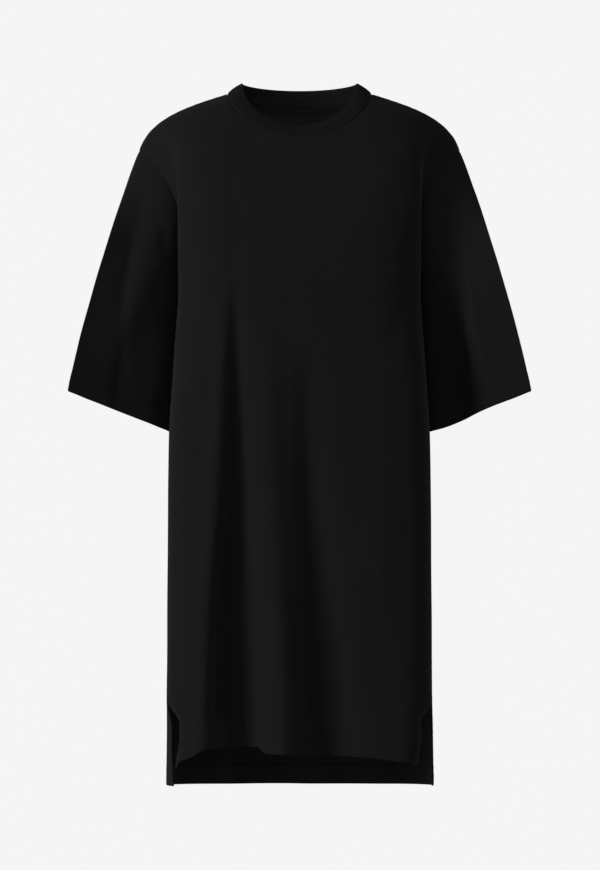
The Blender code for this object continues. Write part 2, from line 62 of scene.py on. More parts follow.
# The finishes paint the faces marked this way lighter: painted light for the inside of the dress.
INNER_SHIFT = 10.0  # marks inner faces in the Cloth map, in metres
QUARTER = math.pi / 2
EDGE_SLACK = 1e-9  # so that the columns that end the neckline count as shoulder

Array = np.ndarray


class Side(Enum):
    """The two body panels. The value is the way in Y that each one faces."""

    FRONT = -1
    BACK = 1


class Hand(Enum):
    """The wearer's two sides. The value is the side's way in X."""

    RIGHT = -1
    LEFT = 1


# ---------------------------------------------------------------- small curves


def ease(share: Array | float) -> Array:
    """Runs from 0 to 1 with level ends.

    Args:
        share: Place between the two ends, clipped to 0 to 1.

    Returns:
        The eased share.
    """
    share = np.clip(share, 0.0, 1.0)
    return share * share * (3 - 2 * share)


def mix(first: Array | float, last: Array | float, share: Array | float) -> Array:
    """Goes in a straight line from first to last as share goes from 0 to 1."""
    return first + (last - first) * share


def bell(away: Array | float) -> Array:
    """A soft bump: 1 at 0, about a third at 1 and next to nothing past 2."""
    return np.exp(-np.square(away))


def bezier(points: tuple[Array, ...], share: Array) -> Array:
    """A cubic Bezier.

    Args:
        points: Four control points, each one point or an array of points.
        share: Places along the curve, broadcast against the points without their last axis.

    Returns:
        The points on the curve.
    """
    share = np.asarray(share)[..., None]
    rest = 1 - share
    weights = (rest**3, 3 * rest**2 * share, 3 * rest * share**2, share**3)
    return sum(weight * np.asarray(point, float) for weight, point in zip(weights, points))


def level_curve(keys: list[float], values: list[float], at: Array) -> Array:
    """A smooth curve through a short table, level at both ends.

    Args:
        keys: Where the curve's values are given, rising or falling.
        values: Its values there.
        at: Where to read it.

    Returns:
        The values at those places.
    """
    key, value = np.array(keys, float), np.array(values, float)
    if key[0] > key[-1]:
        key, value = key[::-1], value[::-1]
    slope = np.zeros(len(key))
    slope[1:-1] = (value[2:] - value[:-2]) / (key[2:] - key[:-2])
    at = np.clip(at, key[0], key[-1])
    k = np.clip(np.searchsorted(key, at, "right") - 1, 0, len(key) - 2)
    width = key[k + 1] - key[k]
    s = (at - key[k]) / width
    start = (2 * s**3 - 3 * s**2 + 1) * value[k] + (s**3 - 2 * s**2 + s) * width * slope[k]
    end = (3 * s**2 - 2 * s**3) * value[k + 1] + (s**3 - s**2) * width * slope[k + 1]
    return start + end


def run_lengths(points: Array, axis: int) -> Array:
    """Distance along a grid's rows or columns from its first point.

    Args:
        points: Grid of points, rows by columns by 3.
        axis: 0 to run down the columns, 1 to run along the rows.

    Returns:
        The distances, rows by columns.
    """
    steps = np.linalg.norm(np.diff(points, axis=axis), axis=2)
    start = np.zeros_like(np.take(steps, [0], axis=axis))
    return np.concatenate([start, np.cumsum(steps, axis=axis)], axis=axis)


def path_lengths(points: Array) -> Array:
    """Distance along a line of points from its first one."""
    return np.concatenate([[0], np.cumsum(np.linalg.norm(np.diff(points, axis=0), axis=1))])


def unit(vectors: Array) -> Array:
    """The same directions with length 1."""
    return vectors / np.maximum(np.linalg.norm(vectors, axis=-1, keepdims=True), 1e-12)


def ripple(across: Array, along: Array, wavelength: float, seed: float, sines: int = 5) -> Array:
    """A smooth, uneven ripple from -1 to 1 made of a few sines, the same each time.

    Args:
        across: First surface coordinate.
        along: Second surface coordinate.
        wavelength: Rough size of its waves.
        seed: Any number, to tell one ripple from another.
        sines: How many sines are added, each with its own direction and wavelength.

    Returns:
        The height of the ripple.
    """
    total = np.zeros(np.broadcast(across, along).shape)
    for k in range(sines):
        turn = seed * 1.7 + k * 2.399
        stretch = 2 * math.pi / (wavelength * (0.75 + 0.17 * k))
        place = across * math.cos(turn) + along * math.sin(turn)
        total = total + np.sin(stretch * place + seed * (k + 1) * 2.3)
    return total / sines

# ---------------------------------------------------------------- tables of the dress's form


@dataclass(frozen=True)
class Section:
    """A level section of the body. seam: degrees that a side seam lies before the widest line."""

    height: float
    half_width: float
    front_depth: float
    back_depth: float
    seam_right: float
    seam_left: float


@dataclass(frozen=True)
class HangingFold:
    """A fold that opens from its top down to the hem.

    across_top and across_hem are the x of its deepest line, relief how far it moves the cloth
    out at the hem, right and left its half widths there, narrow their share at its top.
    """

    across_top: float
    across_hem: float
    top: float
    relief: float
    right: float
    left: float
    narrow: float


@dataclass(frozen=True)
class Crease:
    """A soft ridge (depth over 0) or trough (under 0) along a path of (x, z) points.

    It fades over the shares fade_in and fade_out at the path's ends. On a path that runs down it is
    steep times wider towards -X and that much narrower towards +X.
    """

    path: tuple[tuple[float, float], ...]
    width: float
    depth: float
    fade_in: float = 0.35
    fade_out: float = 0.35
    steep: float = 1.0

    def relief(self, x: Array, z: Array) -> Array:
        """How far the crease moves the cloth out.

        Args:
            x: Across, for each point of a grid.
            z: Height, for each point.

        Returns:
            The move along the cloth's normal.
        """
        nodes = np.array(self.path, float)
        steps = np.diff(nodes, axis=0)
        lengths = np.linalg.norm(steps, axis=1)
        starts = path_lengths(nodes)
        best = np.full(x.shape, 1e9)
        along = np.zeros(x.shape)
        beside = np.ones(x.shape)
        for k, (step, length) in enumerate(zip(steps, lengths)):
            dx, dz = x - nodes[k, 0], z - nodes[k, 1]
            t = np.clip((dx * step[0] + dz * step[1]) / length**2, 0, 1)
            away = np.hypot(dx - t * step[0], dz - t * step[1])
            near = away < best
            best = np.where(near, away, best)
            along = np.where(near, starts[k] + t * length, along)
            beside = np.where(near, np.sign(dx * step[1] - dz * step[0]), beside)
        share = along / starts[-1]
        strength = ease(share / self.fade_in) * ease((1 - share) / self.fade_out)
        width = self.width * np.where(beside > 0, self.steep, 1 / self.steep)
        return self.depth * strength * bell(best / width)


# Creases listed for each piece. The paths are (x, z) points in millimetres.
FRONT_CREASES = (
    Crease(((-158, -268), (-128, -318), (-104, -374)), 9, -1.6, 0.2, 0.6, 1.2),
    Crease(((-150, -250), (-108, -286), (-66, -300)), 12, 1.3, 0.3, 0.6),
    Crease(((160, -266), (132, -312), (118, -372)), 11, -2.0, 0.2, 0.6, 0.8),
    Crease(((156, -236), (112, -262), (70, -264)), 14, 1.4, 0.3, 0.6),
    Crease(((-142, -70), (-128, -130), (-118, -196)), 15, 1.2, 0.5, 0.5),
    Crease(((146, -66), (136, -128), (130, -214)), 17, -1.7, 0.5, 0.5),
    Crease(((-26, -78), (-30, -120), (-24, -176)), 22, -0.8, 0.5, 0.6),
    Crease(((44, -80), (58, -128), (62, -168)), 18, 0.7, 0.5, 0.6),
    Crease(((-96, -350), (-92, -500), (-110, -640)), 8, 1.6, 0.5, 0.5, 1.3),
    Crease(((-138, -560), (-150, -700), (-152, -836)), 13, 2.2, 0.6, 0.4),
    Crease(((-60, -430), (-54, -590), (-58, -740)), 11, 1.5, 0.5, 0.5, 0.8),
    Crease(((2, -470), (10, -600), (22, -716)), 9, -1.8, 0.4, 0.5, 1.3),
    Crease(((92, -520), (108, -660), (118, -800)), 15, 1.7, 0.5, 0.5),
    Crease(((142, -480), (148, -600), (138, -728)), 14, -1.6, 0.5, 0.6),
    Crease(((-94, -520), (-104, -690), (-107, -872)), 11, -7.5, 0.6, 0.08, 1.2),
    Crease(((8, -620), (14, -760), (17, -872)), 12, -6.5, 0.6, 0.08),
    Crease(((44, -700), (54, -790), (58, -868)), 8, -1.6, 0.5, 0.3),
    Crease(((-53.5, -882), (-53, -892), (-52.5, -899)), 1.6, 1.3, 0.6, 0.05, 1.5),
)
BACK_CREASES = (
    Crease(((-156, -268), (-120, -330), (-98, -400)), 12, -2.2, 0.2, 0.6, 1.2),
    Crease(((158, -268), (118, -322), (96, -372)), 13, -2.4, 0.2, 0.6, 0.8),
    Crease(((-150, -208), (-96, -238), (-40, -240)), 16, 1.8, 0.3, 0.7),
    Crease(((152, -226), (104, -250), (58, -246)), 15, 1.6, 0.3, 0.7),
    Crease(((-72, -60), (-84, -130), (-80, -200)), 20, 1.2, 0.5, 0.5),
    Crease(((76, -66), (92, -140), (94, -214)), 22, -1.3, 0.5, 0.5),
    Crease(((-104, -428), (-30, -452), (46, -444)), 17, -2.0, 0.6, 0.6),
    Crease(((-52, -478), (28, -494), (108, -476)), 15, 1.6, 0.6, 0.6),
    Crease(((-84, -520), (-98, -680), (-112, -860)), 10, -2.4, 0.5, 0.3, 1.3),
    Crease(((-24, -560), (-34, -700), (-40, -824)), 12, 2.0, 0.5, 0.5),
    Crease(((36, -540), (38, -690), (30, -880)), 11, -2.2, 0.5, 0.3, 0.8),
    Crease(((92, -600), (108, -740), (116, -900)), 14, 2.0, 0.5, 0.4),
)
RIGHT_SLEEVE_FRONT = (
    Crease(((-182.6, -239), (-177.8, -250), (-168, -254.5)), 2.3, -1.7, 0.35, 0.1, 1.4),
    Crease(((-184, -172), (-183, -205), (-182, -236)), 8, -3.2, 0.5, 0.5),
    Crease(((-183, -276), (-182, -310), (-180, -350)), 9, -2.4, 0.5, 0.5, 1.3),
    Crease(((-211, -150), (-209, -250), (-206, -356)), 14, 0.8, 0.4, 0.4),
    Crease(((-238, -150), (-243, -300), (-249, -436)), 13, -3.4, 0.4, 0.15, 1.2),
    Crease(((-187, -392), (-190, -426), (-192, -462)), 10, -4.0, 0.5, 0.1),
    Crease(((-252, -186), (-247, -192), (-243, -200)), 6, 1.4, 0.5, 0.5),
    Crease(((-272, -300), (-280, -352), (-290, -408)), 11, 2.6, 0.5, 0.2),
)
RIGHT_SLEEVE_BACK = (
    Crease(((-190, -170), (-214, -236), (-226, -320)), 14, -3.2, 0.4, 0.5),
    Crease(((-240, -210), (-258, -310), (-268, -410)), 12, 3.0, 0.5, 0.3),
    Crease(((-196, -330), (-208, -390), (-214, -446)), 10, -3.4, 0.5, 0.2),
)
LEFT_SLEEVE_FRONT = (
    Crease(((201, -118), (209, -205), (213, -336), (216, -462)), 23, -17.0, 0.35, 0.02, 1.25),
    Crease(((246, -196), (256, -300), (264, -428)), 15, 2.0, 0.4, 0.3),
    Crease(((270, -262), (284, -340), (296, -408)), 10, -1.6, 0.5, 0.3),
    Crease(((228, -112), (238, -150), (244, -196)), 12, 1.6, 0.5, 0.5),
)
LEFT_SLEEVE_BACK = (
    Crease(((192, -160), (210, -240), (222, -330)), 13, -3.6, 0.4, 0.5),
    Crease(((246, -230), (262, -320), (272, -404)), 13, 2.8, 0.5, 0.3),
    Crease(((200, -350), (214, -404), (222, -440)), 9, -2.8, 0.5, 0.2),
)


@dataclass(frozen=True)
class SlitEdge:
    """How far a slit's edge leaves its seam line, half way down (mid) and at the hem.

    across is -1 at the right slit and 1 at the left one, out the move to its outer side and ahead
    the move to the front. reach is the share of the panel that follows the edge.
    """

    side: Side
    across: int
    out_mid: float
    ahead_mid: float
    out_hem: float
    ahead_hem: float
    reach: float = 0.13


@dataclass(frozen=True)
class NeckCut:
    """The neckline of one panel, and the top edge of the neckband over it.

    drop is the neckline's depth in the middle, rise how far the uncut cloth stands above the
    shoulders there, top_y and top_drop where the neckband's top edge lies in the middle.
    """

    drop: float
    drop_power: float
    rise: float
    top_y: float
    top_drop: float
    top_power: float


@dataclass(frozen=True)
class SleeveFold:
    """A soft fold down a sleeve.

    at: degrees round from the underarm over the front. start: share of the way down where it
    begins. relief: how far it moves the cloth out at the hem.
    """

    at_top: float
    at_hem: float
    width: float
    start: float
    relief: float


@dataclass(frozen=True)
class BodyForm:
    """The surface of the body, from the hems up to the neckline, shoulder seams and armholes."""

    sections: tuple[Section, ...] = (
        Section(-262, 166.0, 98, 130, -6, -6),
        Section(-364, 171.5, 101, 133, -2, -3),
        Section(-460, 178.0, 102, 134, 4, 0),
        Section(-640, 180.0, 101, 133, 12, 3),
        Section(-828, 181.2, 100, 132, 16, 5),
        Section(-945, 182.0, 100, 133, 16, 5),
    )
    folds: dict[Side, tuple[HangingFold, ...]] = field(
        default_factory=lambda: {
            Side.FRONT: (
                HangingFold(-88, -87, -255, -42, 23, 38, 0.30),
                HangingFold(-104, -133, -265, 13, 24, 25, 0.45),
                HangingFold(-40, -20, -300, 14, 26, 22, 0.60),
                HangingFold(8, 40, -350, -29, 27, 44, 0.45),
                HangingFold(70, 112, -420, -3, 40, 30, 0.70),
                HangingFold(158, 162, -262, 6, 32, 30, 0.35),
            ),
            Side.BACK: (
                HangingFold(-58, -96, -330, -15, 34, 28, 0.40),
                HangingFold(-14, -38, -420, 9, 26, 32, 0.50),
                HangingFold(12, 22, -300, -18, 26, 38, 0.35),
                HangingFold(70, 104, -380, -12, 36, 28, 0.45),
                HangingFold(100, 140, -460, 5, 20, 26, 0.60),
            ),
        }
    )
    front_hem: tuple[tuple[float, float], ...] = (
        (-1.00, -921.5), (-0.94, -918), (-0.875, -911.5), (-0.80, -905), (-0.76, -898),
        (-0.70, -893.5), (-0.43, -891.5), (-0.405, -899), (-0.15, -902), (0.22, -903),
        (0.50, -906.5), (0.75, -915), (1.00, -917),
    )
    slit_edges: tuple[SlitEdge, ...] = (
        SlitEdge(Side.FRONT, -1, -17.0, 8.5, -12.0, 1.0),
        SlitEdge(Side.BACK, -1, -6.0, 9.0, -8.0, 12.0, 0.09),
        SlitEdge(Side.FRONT, 1, -18.0, 8.0, -25.0, 10.0, 0.3),
        SlitEdge(Side.BACK, 1, 0.5, 2.0, 1.0, 6.0),
    )
    necks: dict[Side, NeckCut] = field(
        default_factory=lambda: {
            Side.FRONT: NeckCut(61, 1.25, 20, -67.5, 59.0, 1.12),
            Side.BACK: NeckCut(18, 1.30, 32, 65.0, 9.5, 1.30),
        }
    )
    armhole_depth: dict[Side, float] = field(
        default_factory=lambda: {Side.FRONT: 58.0, Side.BACK: 56.0}
    )
    armhole_reach: dict[Side, float] = field(
        default_factory=lambda: {Side.FRONT: 0.30, Side.BACK: 0.34}
    )
    underarm: float = -262.0
    slit_top: float = -828.0
    back_hem: float = -945.0
    side_axis_y: float = -18.0
    chest_power: float = 4.0
    front_power: float = 5.4
    power_change: float = 160.0
    back_power: float = 2.6
    fold_free_edge: float = 0.16
    fold_growth: float = 0.8
    neck_share: float = 16 / 36
    neck_half_width: float = 99.0
    neck_crowding: float = 1.3
    shoulder_y: float = 8.0
    shoulder_seam: tuple[tuple[float, float], ...] = (
        (99.0, 0.0), (150.0, -16.0), (206.0, -32.0), (219.5, -78.0),
    )
    shoulder_tip_y: float = 6.0
    armhole_square: float = 0.13
    bow_start: float = 0.5
    drift_reach: float = 0.38
    furthest_column: float = 0.7
    foot_samples: int = 401
    halvings: int = 22
    neck_draw: float = 3.0
    fan_spread: float = 0.8
    fan_reach: float = 0.16
    half_panel: float = 265.0

    def measure(self, name: str, height: Array) -> Array:
        """One measure of the level sections, at any height."""
        keys = [section.height for section in self.sections]
        return level_curve(keys, [getattr(section, name) for section in self.sections], height)

    def section_point(self, azimuth: Array, height: Array) -> tuple[Array, Array]:
        """Where a level section lies at an angle from the front towards +X.

        Args:
            azimuth: Angle in radians.
            height: Height of the section.

        Returns:
            x and y.
        """
        ahead = np.cos(azimuth) > 0
        front, back = self.measure("front_depth", height), self.measure("back_depth", height)
        below = ease((self.underarm - height) / self.power_change)
        squareness = mix(self.chest_power, self.front_power, below)
        depth = np.where(ahead, front, back)
        power = np.where(ahead, squareness, self.back_power)
        across = (np.abs(np.sin(azimuth)) / self.measure("half_width", height)) ** power
        along = (np.abs(np.cos(azimuth)) / depth) ** power
        radius = (across + along) ** (-1 / power)
        return radius * np.sin(azimuth), self.side_axis_y - radius * np.cos(azimuth)

    def fold_relief(self, side: Side, across: Array, x: Array, height: Array) -> Array:
        """How far the hanging folds move the cloth out. They die away at the side seams.

        Args:
            side: Which panel.
            across: -1 at the right side seam, 1 at the left one.
            x: Across, in millimetres.
            height: Height of each point.

        Returns:
            The move away from the middle of the body.
        """
        total = np.zeros(np.broadcast(across, x, height).shape)
        for fold in self.folds[side]:
            share = np.clip((height - fold.top) / (self.back_hem - fold.top), 0, 1)
            centre = mix(fold.across_top, fold.across_hem, ease(share))
            width = np.where(x < centre, fold.right, fold.left) * mix(fold.narrow, 1.0, share)
            total = total + fold.relief * share**self.fold_growth * bell((x - centre) / width)
        return total * ease((1 - np.abs(across)) / self.fold_free_edge)

    def hem_height(self, side: Side, across: Array) -> Array:
        """Height of a panel's lower edge.

        Args:
            side: Which panel.
            across: -1 at the right side seam, 1 at the left one.

        Returns:
            The heights.
        """
        if side is Side.BACK:
            return np.full(np.shape(across), self.back_hem)
        keys, heights = zip(*self.front_hem)
        return level_curve(list(keys), list(heights), across)

    def skirt(self, side: Side, across: Array, height: Array) -> Array:
        """Points of the body below the underarm.

        Args:
            side: Which panel.
            across: -1 at the right side seam, 1 at the left one.
            height: Height of each point.

        Returns:
            Array of points.
        """
        across, height = np.broadcast_arrays(across, height)
        right = -np.radians(90 - self.measure("seam_right", height))
        left = np.radians(90 - self.measure("seam_left", height))
        if side is Side.BACK:
            left = left - 2 * math.pi
        x, y = self.section_point(mix(right, left, (across + 1) / 2), height)
        y = y + side.value * self.fold_relief(side, across, x, height)
        down = (self.slit_top - height) / (self.slit_top - self.hem_height(side, across))
        for edge in self.slit_edges:
            if edge.side is side:
                own = (down > 0) & (edge.across * across > 0)
                near = own * bell((1 - np.abs(across)) / edge.reach)
                to_mid, to_hem = ease(down * 3), ease(down * 2 - 1)
                x = x + edge.across * near * to_mid * mix(edge.out_mid, edge.out_hem, to_hem)
                y = y - near * to_mid * mix(edge.ahead_mid, edge.ahead_hem, to_hem)
        return np.stack([x, y, height], axis=-1)

    def neck_rise(self, side: Side, x: Array) -> Array:
        """How far the uncut body stands above the shoulder points, under the neckline's hole."""
        share = np.minimum(np.abs(x) / self.neck_half_width, 1.0)
        return self.necks[side].rise * np.cos(share * QUARTER) ** 2

    def uncut(self, side: Side, across: Array, angle: Array) -> Array:
        """Points of the body above the underarm, as if it had no neckline.

        Args:
            side: Which panel.
            across: -1 to 1 between the armholes.
            angle: 0 at the underarm, a quarter turn on the shoulder line.

        Returns:
            Array of points.
        """
        across, angle = np.broadcast_arrays(across, angle)
        share = np.abs(across)
        keys = np.linspace(-1, 1, self.foot_samples)
        feet = self.skirt(side, keys, np.full(len(keys), self.underarm))
        foot_x = np.interp(across, keys, feet[:, 0])
        foot_y = np.interp(across, keys, feet[:, 1])
        beyond = (share - self.neck_share) / (1 - self.neck_share)
        seam = bezier(self.shoulder_seam, np.clip(beyond, 0, 1))
        top_x = np.where(beyond < 0, self.neck_half_width * share / self.neck_share, seam[..., 0])
        top_z = np.where(beyond < 0, 0.0, seam[..., 1])
        top_y = mix(self.shoulder_y, self.shoulder_tip_y, np.clip(beyond, 0, 1))
        square = bell((1 - share) / self.armhole_square)
        late = np.exp(-(((1 - share) / self.drift_reach) ** 3))
        bow = self.armhole_depth[side] * np.exp(-(1 - share) / self.armhole_reach[side])
        up = angle / QUARTER
        climb = mix(np.sin(angle), np.sin(angle) ** 2, square)
        drift = mix(ease(up), ease(2 * up - 1), late)
        x = mix(foot_x, np.copysign(top_x, across), drift)
        spread = np.sin(2 * angle) * mix(ease(angle / self.bow_start), 1.0, np.sqrt(square))
        y = mix(top_y, foot_y, np.cos(angle)) + side.value * bow * spread
        return np.stack([x, y, mix(self.underarm, top_z + self.neck_rise(side, x), climb)], -1)

    def column_through(self, side: Side, x: Array, angle: Array) -> Array:
        """The column of the uncut body that passes through x at an angle.

        Args:
            side: Which panel.
            x: Across, in millimetres.
            angle: 0 at the underarm, a quarter turn on the shoulder line.

        Returns:
            The column, between -furthest_column and furthest_column.
        """
        low = np.full(np.broadcast(x, angle).shape, -self.furthest_column)
        high = -low
        for _ in range(self.halvings):
            middle = (low + high) / 2
            right = self.uncut(side, middle, angle)[..., 0] < x
            low, high = np.where(right, middle, low), np.where(right, high, middle)
        return (low + high) / 2

    def neck_leave(self, side: Side, turn: Array) -> tuple[Array, Array]:
        """Where the neckline lies across, and the angle at which columns end on it.

        Args:
            side: Which panel.
            turn: A quarter turn each way from the middle.

        Returns:
            x and the angle.
        """
        neck = self.necks[side]
        end_x = self.neck_half_width * np.sin(turn)
        end_z = -neck.drop * np.maximum(np.cos(turn), 0) ** neck.drop_power
        climb = (end_z - self.underarm) / (self.neck_rise(side, end_x) - self.underarm)
        return end_x, np.arcsin(np.minimum(climb, 1.0))

    def neckline(self, side: Side, turn: Array) -> Array:
        """Points of the neckline. turn: a quarter turn each way from the middle."""
        end_x, leave = self.neck_leave(side, turn)
        return self.uncut(side, self.column_through(side, end_x, leave), leave)

    def yoke(self, side: Side, across: Array, up: Array) -> Array:
        """Points of the body above the underarm.

        Args:
            side: Which panel.
            across: The panel's columns.
            up: Its rows, 0 at the underarm and 1 at the top edge.

        Returns:
            Grid of points.
        """
        columns, rows = np.meshgrid(across, up)
        near = bell((np.abs(columns) - self.neck_share) / self.fan_reach)
        fanned = columns + np.copysign(self.fan_spread * near * rows**3 * (1 - rows), columns)
        points = self.uncut(side, fanned, rows * QUARTER)
        inner = np.abs(across) < self.neck_share - EDGE_SLACK
        share = 1 - (1 - np.abs(across[inner]) / self.neck_share) ** self.neck_crowding
        end_x, leave = self.neck_leave(side, np.copysign(share * QUARTER, across[inner]))
        draw = end_x - self.uncut(side, across[inner], leave)[..., 0]
        angle = rows[:, inner] * leave
        drawn = draw * rows[:, inner] ** self.neck_draw
        x = self.uncut(side, fanned[:, inner], angle)[..., 0] + drawn
        points[:, inner] = self.uncut(side, self.column_through(side, x, angle), angle)
        return points


# ---------------------------------------------------------------- cloth


@dataclass
class Cloth:
    """A grid of cloth points with its outward directions and what is known of its borders.

    rows run up from the lower edge, columns from the right to the left. closed cloth is a tube.
    """

    points: Array
    closed: bool
    inside: Array
    normals: Array = field(init=False)
    inward: Array = field(init=False)

    def __post_init__(self) -> None:
        """Works out the outward directions."""
        self.refresh()

    def refresh(self) -> None:
        """Works out the outward directions again after the points have moved."""
        if self.closed:
            around = np.roll(self.points, -1, axis=1) - np.roll(self.points, 1, axis=1)
        else:
            around = np.gradient(self.points, axis=1)
        normals = unit(np.cross(around, np.gradient(self.points, axis=0)))
        out = (normals * (self.points - self.inside)).sum()
        self.normals = normals if out > 0 else -normals
        self.inward = -self.normals

    def displace(self, relief: Array) -> None:
        """Moves the points along their normals."""
        self.points = self.points + self.normals * relief[..., None]
        self.refresh()


def join_seams(
    borders: list[tuple[Cloth, Array, Array]], least_sum: float = 0.4, least_way: float = 0.3
) -> None:
    """Gives border points that meet one inward direction, so that walls join squarely.

    Args:
        borders: Cloth with the row and the column indices of its border points.
        least_sum: Directions whose sum is shorter than this face apart and stay as they are.
        least_way: A direction shorter than this before it is made a unit isn't used.
    """
    meeting: dict[tuple[float, ...], list[tuple[Cloth, int, int]]] = {}
    for cloth, rows, columns in borders:
        for row, column in zip(rows, columns):
            key = tuple(np.round(cloth.points[row, column], 2))
            meeting.setdefault(key, []).append((cloth, int(row), int(column)))
    for places in meeting.values():
        normals = [cloth.normals[row, column] for cloth, row, column in places]
        shared = sum(normals)
        length = float(np.linalg.norm(shared))
        if len(places) < 2 or length < least_sum:
            continue
        for (cloth, row, column), own in zip(places, normals):
            agree = float(ease(float(own @ shared) / length * 2 - 0.9))
            way = -mix(own, shared / length, agree)
            size = float(np.linalg.norm(way))
            if size > least_way:
                cloth.inward[row, column] = way / size


def put(name: str, data: bpy.types.ID) -> bpy.types.Object:
    """Makes an object of the data and links it to the scene."""
    thing = bpy.data.objects.new(name, data)
    bpy.context.scene.collection.objects.link(thing)
    return thing


@dataclass
class MeshParts:
    """Vertices, faces and both UV maps of a piece, collected before it becomes an object."""

    points: list[Array] = field(default_factory=list)
    faces: list[tuple[int, ...]] = field(default_factory=list)
    bake: list[tuple[float, float]] = field(default_factory=list)
    cloth: list[tuple[float, float]] = field(default_factory=list)
    count: int = 0

    def add(self, points: Array) -> int:
        """Adds vertices and returns the index of the first one."""
        start = self.count
        self.points.append(points.reshape(-1, 3))
        self.count += len(self.points[-1])
        return start

    def face(self, corners: tuple[int, ...], bake: list, cloth: list) -> None:
        """Adds one face with its corners' places in both UV maps."""
        self.faces.append(corners)
        self.bake += bake
        self.cloth += cloth

    def to_object(
        self, name: str, material: bpy.types.Material, crisp: float = 50.0
    ) -> bpy.types.Object:
        """Makes the Blender object.

        Args:
            name: The piece's name.
            material: Its finish.
            crisp: Edges that turn more than this, in degrees, are not shaded as smooth.

        Returns:
            The new object, linked to the scene.
        """
        mesh = bpy.data.meshes.new(name)
        points = np.concatenate(self.points) * MM
        mesh.from_pydata(points.tolist(), [], self.faces)
        for title, places in (("OFBake", self.bake), ("Cloth", self.cloth)):
            if places:
                layer = mesh.uv_layers.new(name=title)
                layer.data.foreach_set("uv", np.array(places, np.float32).ravel())
        mesh.materials.append(material)
        mesh.shade_smooth()
        mesh.set_sharp_from_angle(angle=math.radians(crisp))
        mesh.update()
        return put(name, mesh)


def grid_wall(parts: MeshParts, cloth: Cloth, thickness: Array, along: Array, up: Array) -> None:
    """Adds a cloth wall: outer and inner grids and the rims that close it.

    Args:
        parts: Where the wall goes.
        cloth: The cloth, whose points are the outer face.
        thickness: Wall thickness at each point.
        along: Cloth coordinate of each column, in millimetres.
        up: Cloth coordinate of each row, in millimetres.
    """
    rows, columns = cloth.points.shape[:2]
    last = columns if cloth.closed else columns - 1
    outer = parts.add(cloth.points)
    inner = parts.add(cloth.points + cloth.inward * thickness[..., None])
    a, b, c = cloth.points[0, 0], cloth.points[0, 1], cloth.points[1, 0]
    flip = float(np.cross(b - a, c - a) @ cloth.normals[0, 0]) < 0
    metric = np.append(along, along[-1] + (along[1] - along[0]))
    left, wide, low, tall = (0.01, 0.51), 0.48, 0.03, 0.96
    rim_low, rim_step, rim_tall = 0.002, 0.006, 0.004

    def corner(row: int, column: int, layer: int) -> tuple[tuple[float, float], ...]:
        """A grid point's places in both maps. layer: 0 outside, 1 inside."""
        bake = (left[layer] + wide * (column / last), low + tall * row / (rows - 1))
        return bake, (metric[column] * MM + layer * INNER_SHIFT, up[row] * MM)

    places = [
        [[corner(row, column, layer) for column in range(last + 1)] for row in range(rows)]
        for layer in (0, 1)
    ]
    for layer, start in ((0, outer), (1, inner)):
        for j in range(rows - 1):
            for i in range(last):
                k = (i + 1) % columns
                ring = [(j, i, i), (j, k, i + 1), (j + 1, k, i + 1), (j + 1, i, i)]
                if flip != bool(layer):
                    ring = ring[::-1]
                spots = [places[layer][row][shown] for row, _, shown in ring]
                corners = tuple(start + row * columns + column for row, column, _ in ring)
                parts.face(corners, [spot[0] for spot in spots], [spot[1] for spot in spots])
    rims = [[(0, i) for i in range(last + 1)], [(rows - 1, i) for i in range(last, -1, -1)]]
    if not cloth.closed:
        rims.append([(j, columns - 1) for j in range(rows)])
        rims.append([(j, 0) for j in range(rows - 1, -1, -1)])
    for number, rim in enumerate(rims):
        foot = rim_low + rim_step * number
        head = foot + rim_tall
        for n, ((j, i), (m, k)) in enumerate(zip(rim, rim[1:])):
            first, second = j * columns + i % columns, m * columns + k % columns
            ring = (outer + second, outer + first, inner + first, inner + second)
            here, there = n / len(rim), (n + 1) / len(rim)
            bake = [(there, foot), (here, foot), (here, head), (there, head)]
            flat = [(there, 0.0), (here, 0.0), (here, 0.001), (there, 0.001)]
            if flip:
                ring, bake, flat = ring[::-1], bake[::-1], flat[::-1]
            parts.face(ring, bake, flat)


def tube_skin(
    parts: MeshParts,
    points: Array,
    spans: int,
    lengths: tuple[Array, Array],
    bake: tuple[float, float, float, float],
    inner_from: int,
) -> int:
    """Adds the skin of a closed section that runs along a path.

    Args:
        parts: Where the skin goes.
        points: Points round the section by points along the path.
        spans: How many steps along the path get faces.
        lengths: Distances along the path and round the section.
        bake: Left edge, width, lower edge and height of its place in the OFBake map.
        inner_from: The first step round the section that counts as an inner face.

    Returns:
        Index of the first vertex.
    """
    steps, count = points.shape[:2]
    start = parts.add(points)
    flat, rounds = lengths
    left, wide, low, tall = bake
    for j in range(steps):
        shift = INNER_SHIFT if j >= inner_from else 0.0
        for i in range(spans):
            ring = ((j, i), (j, i + 1), (j + 1, i + 1), (j + 1, i))
            parts.face(
                tuple(start + (row % steps) * count + column % count for row, column in ring),
                [(left + wide * c / count, low + tall * r / steps) for r, c in ring],
                [(flat[c] * MM + shift, rounds[r] * MM) for r, c in ring],
            )
    return start


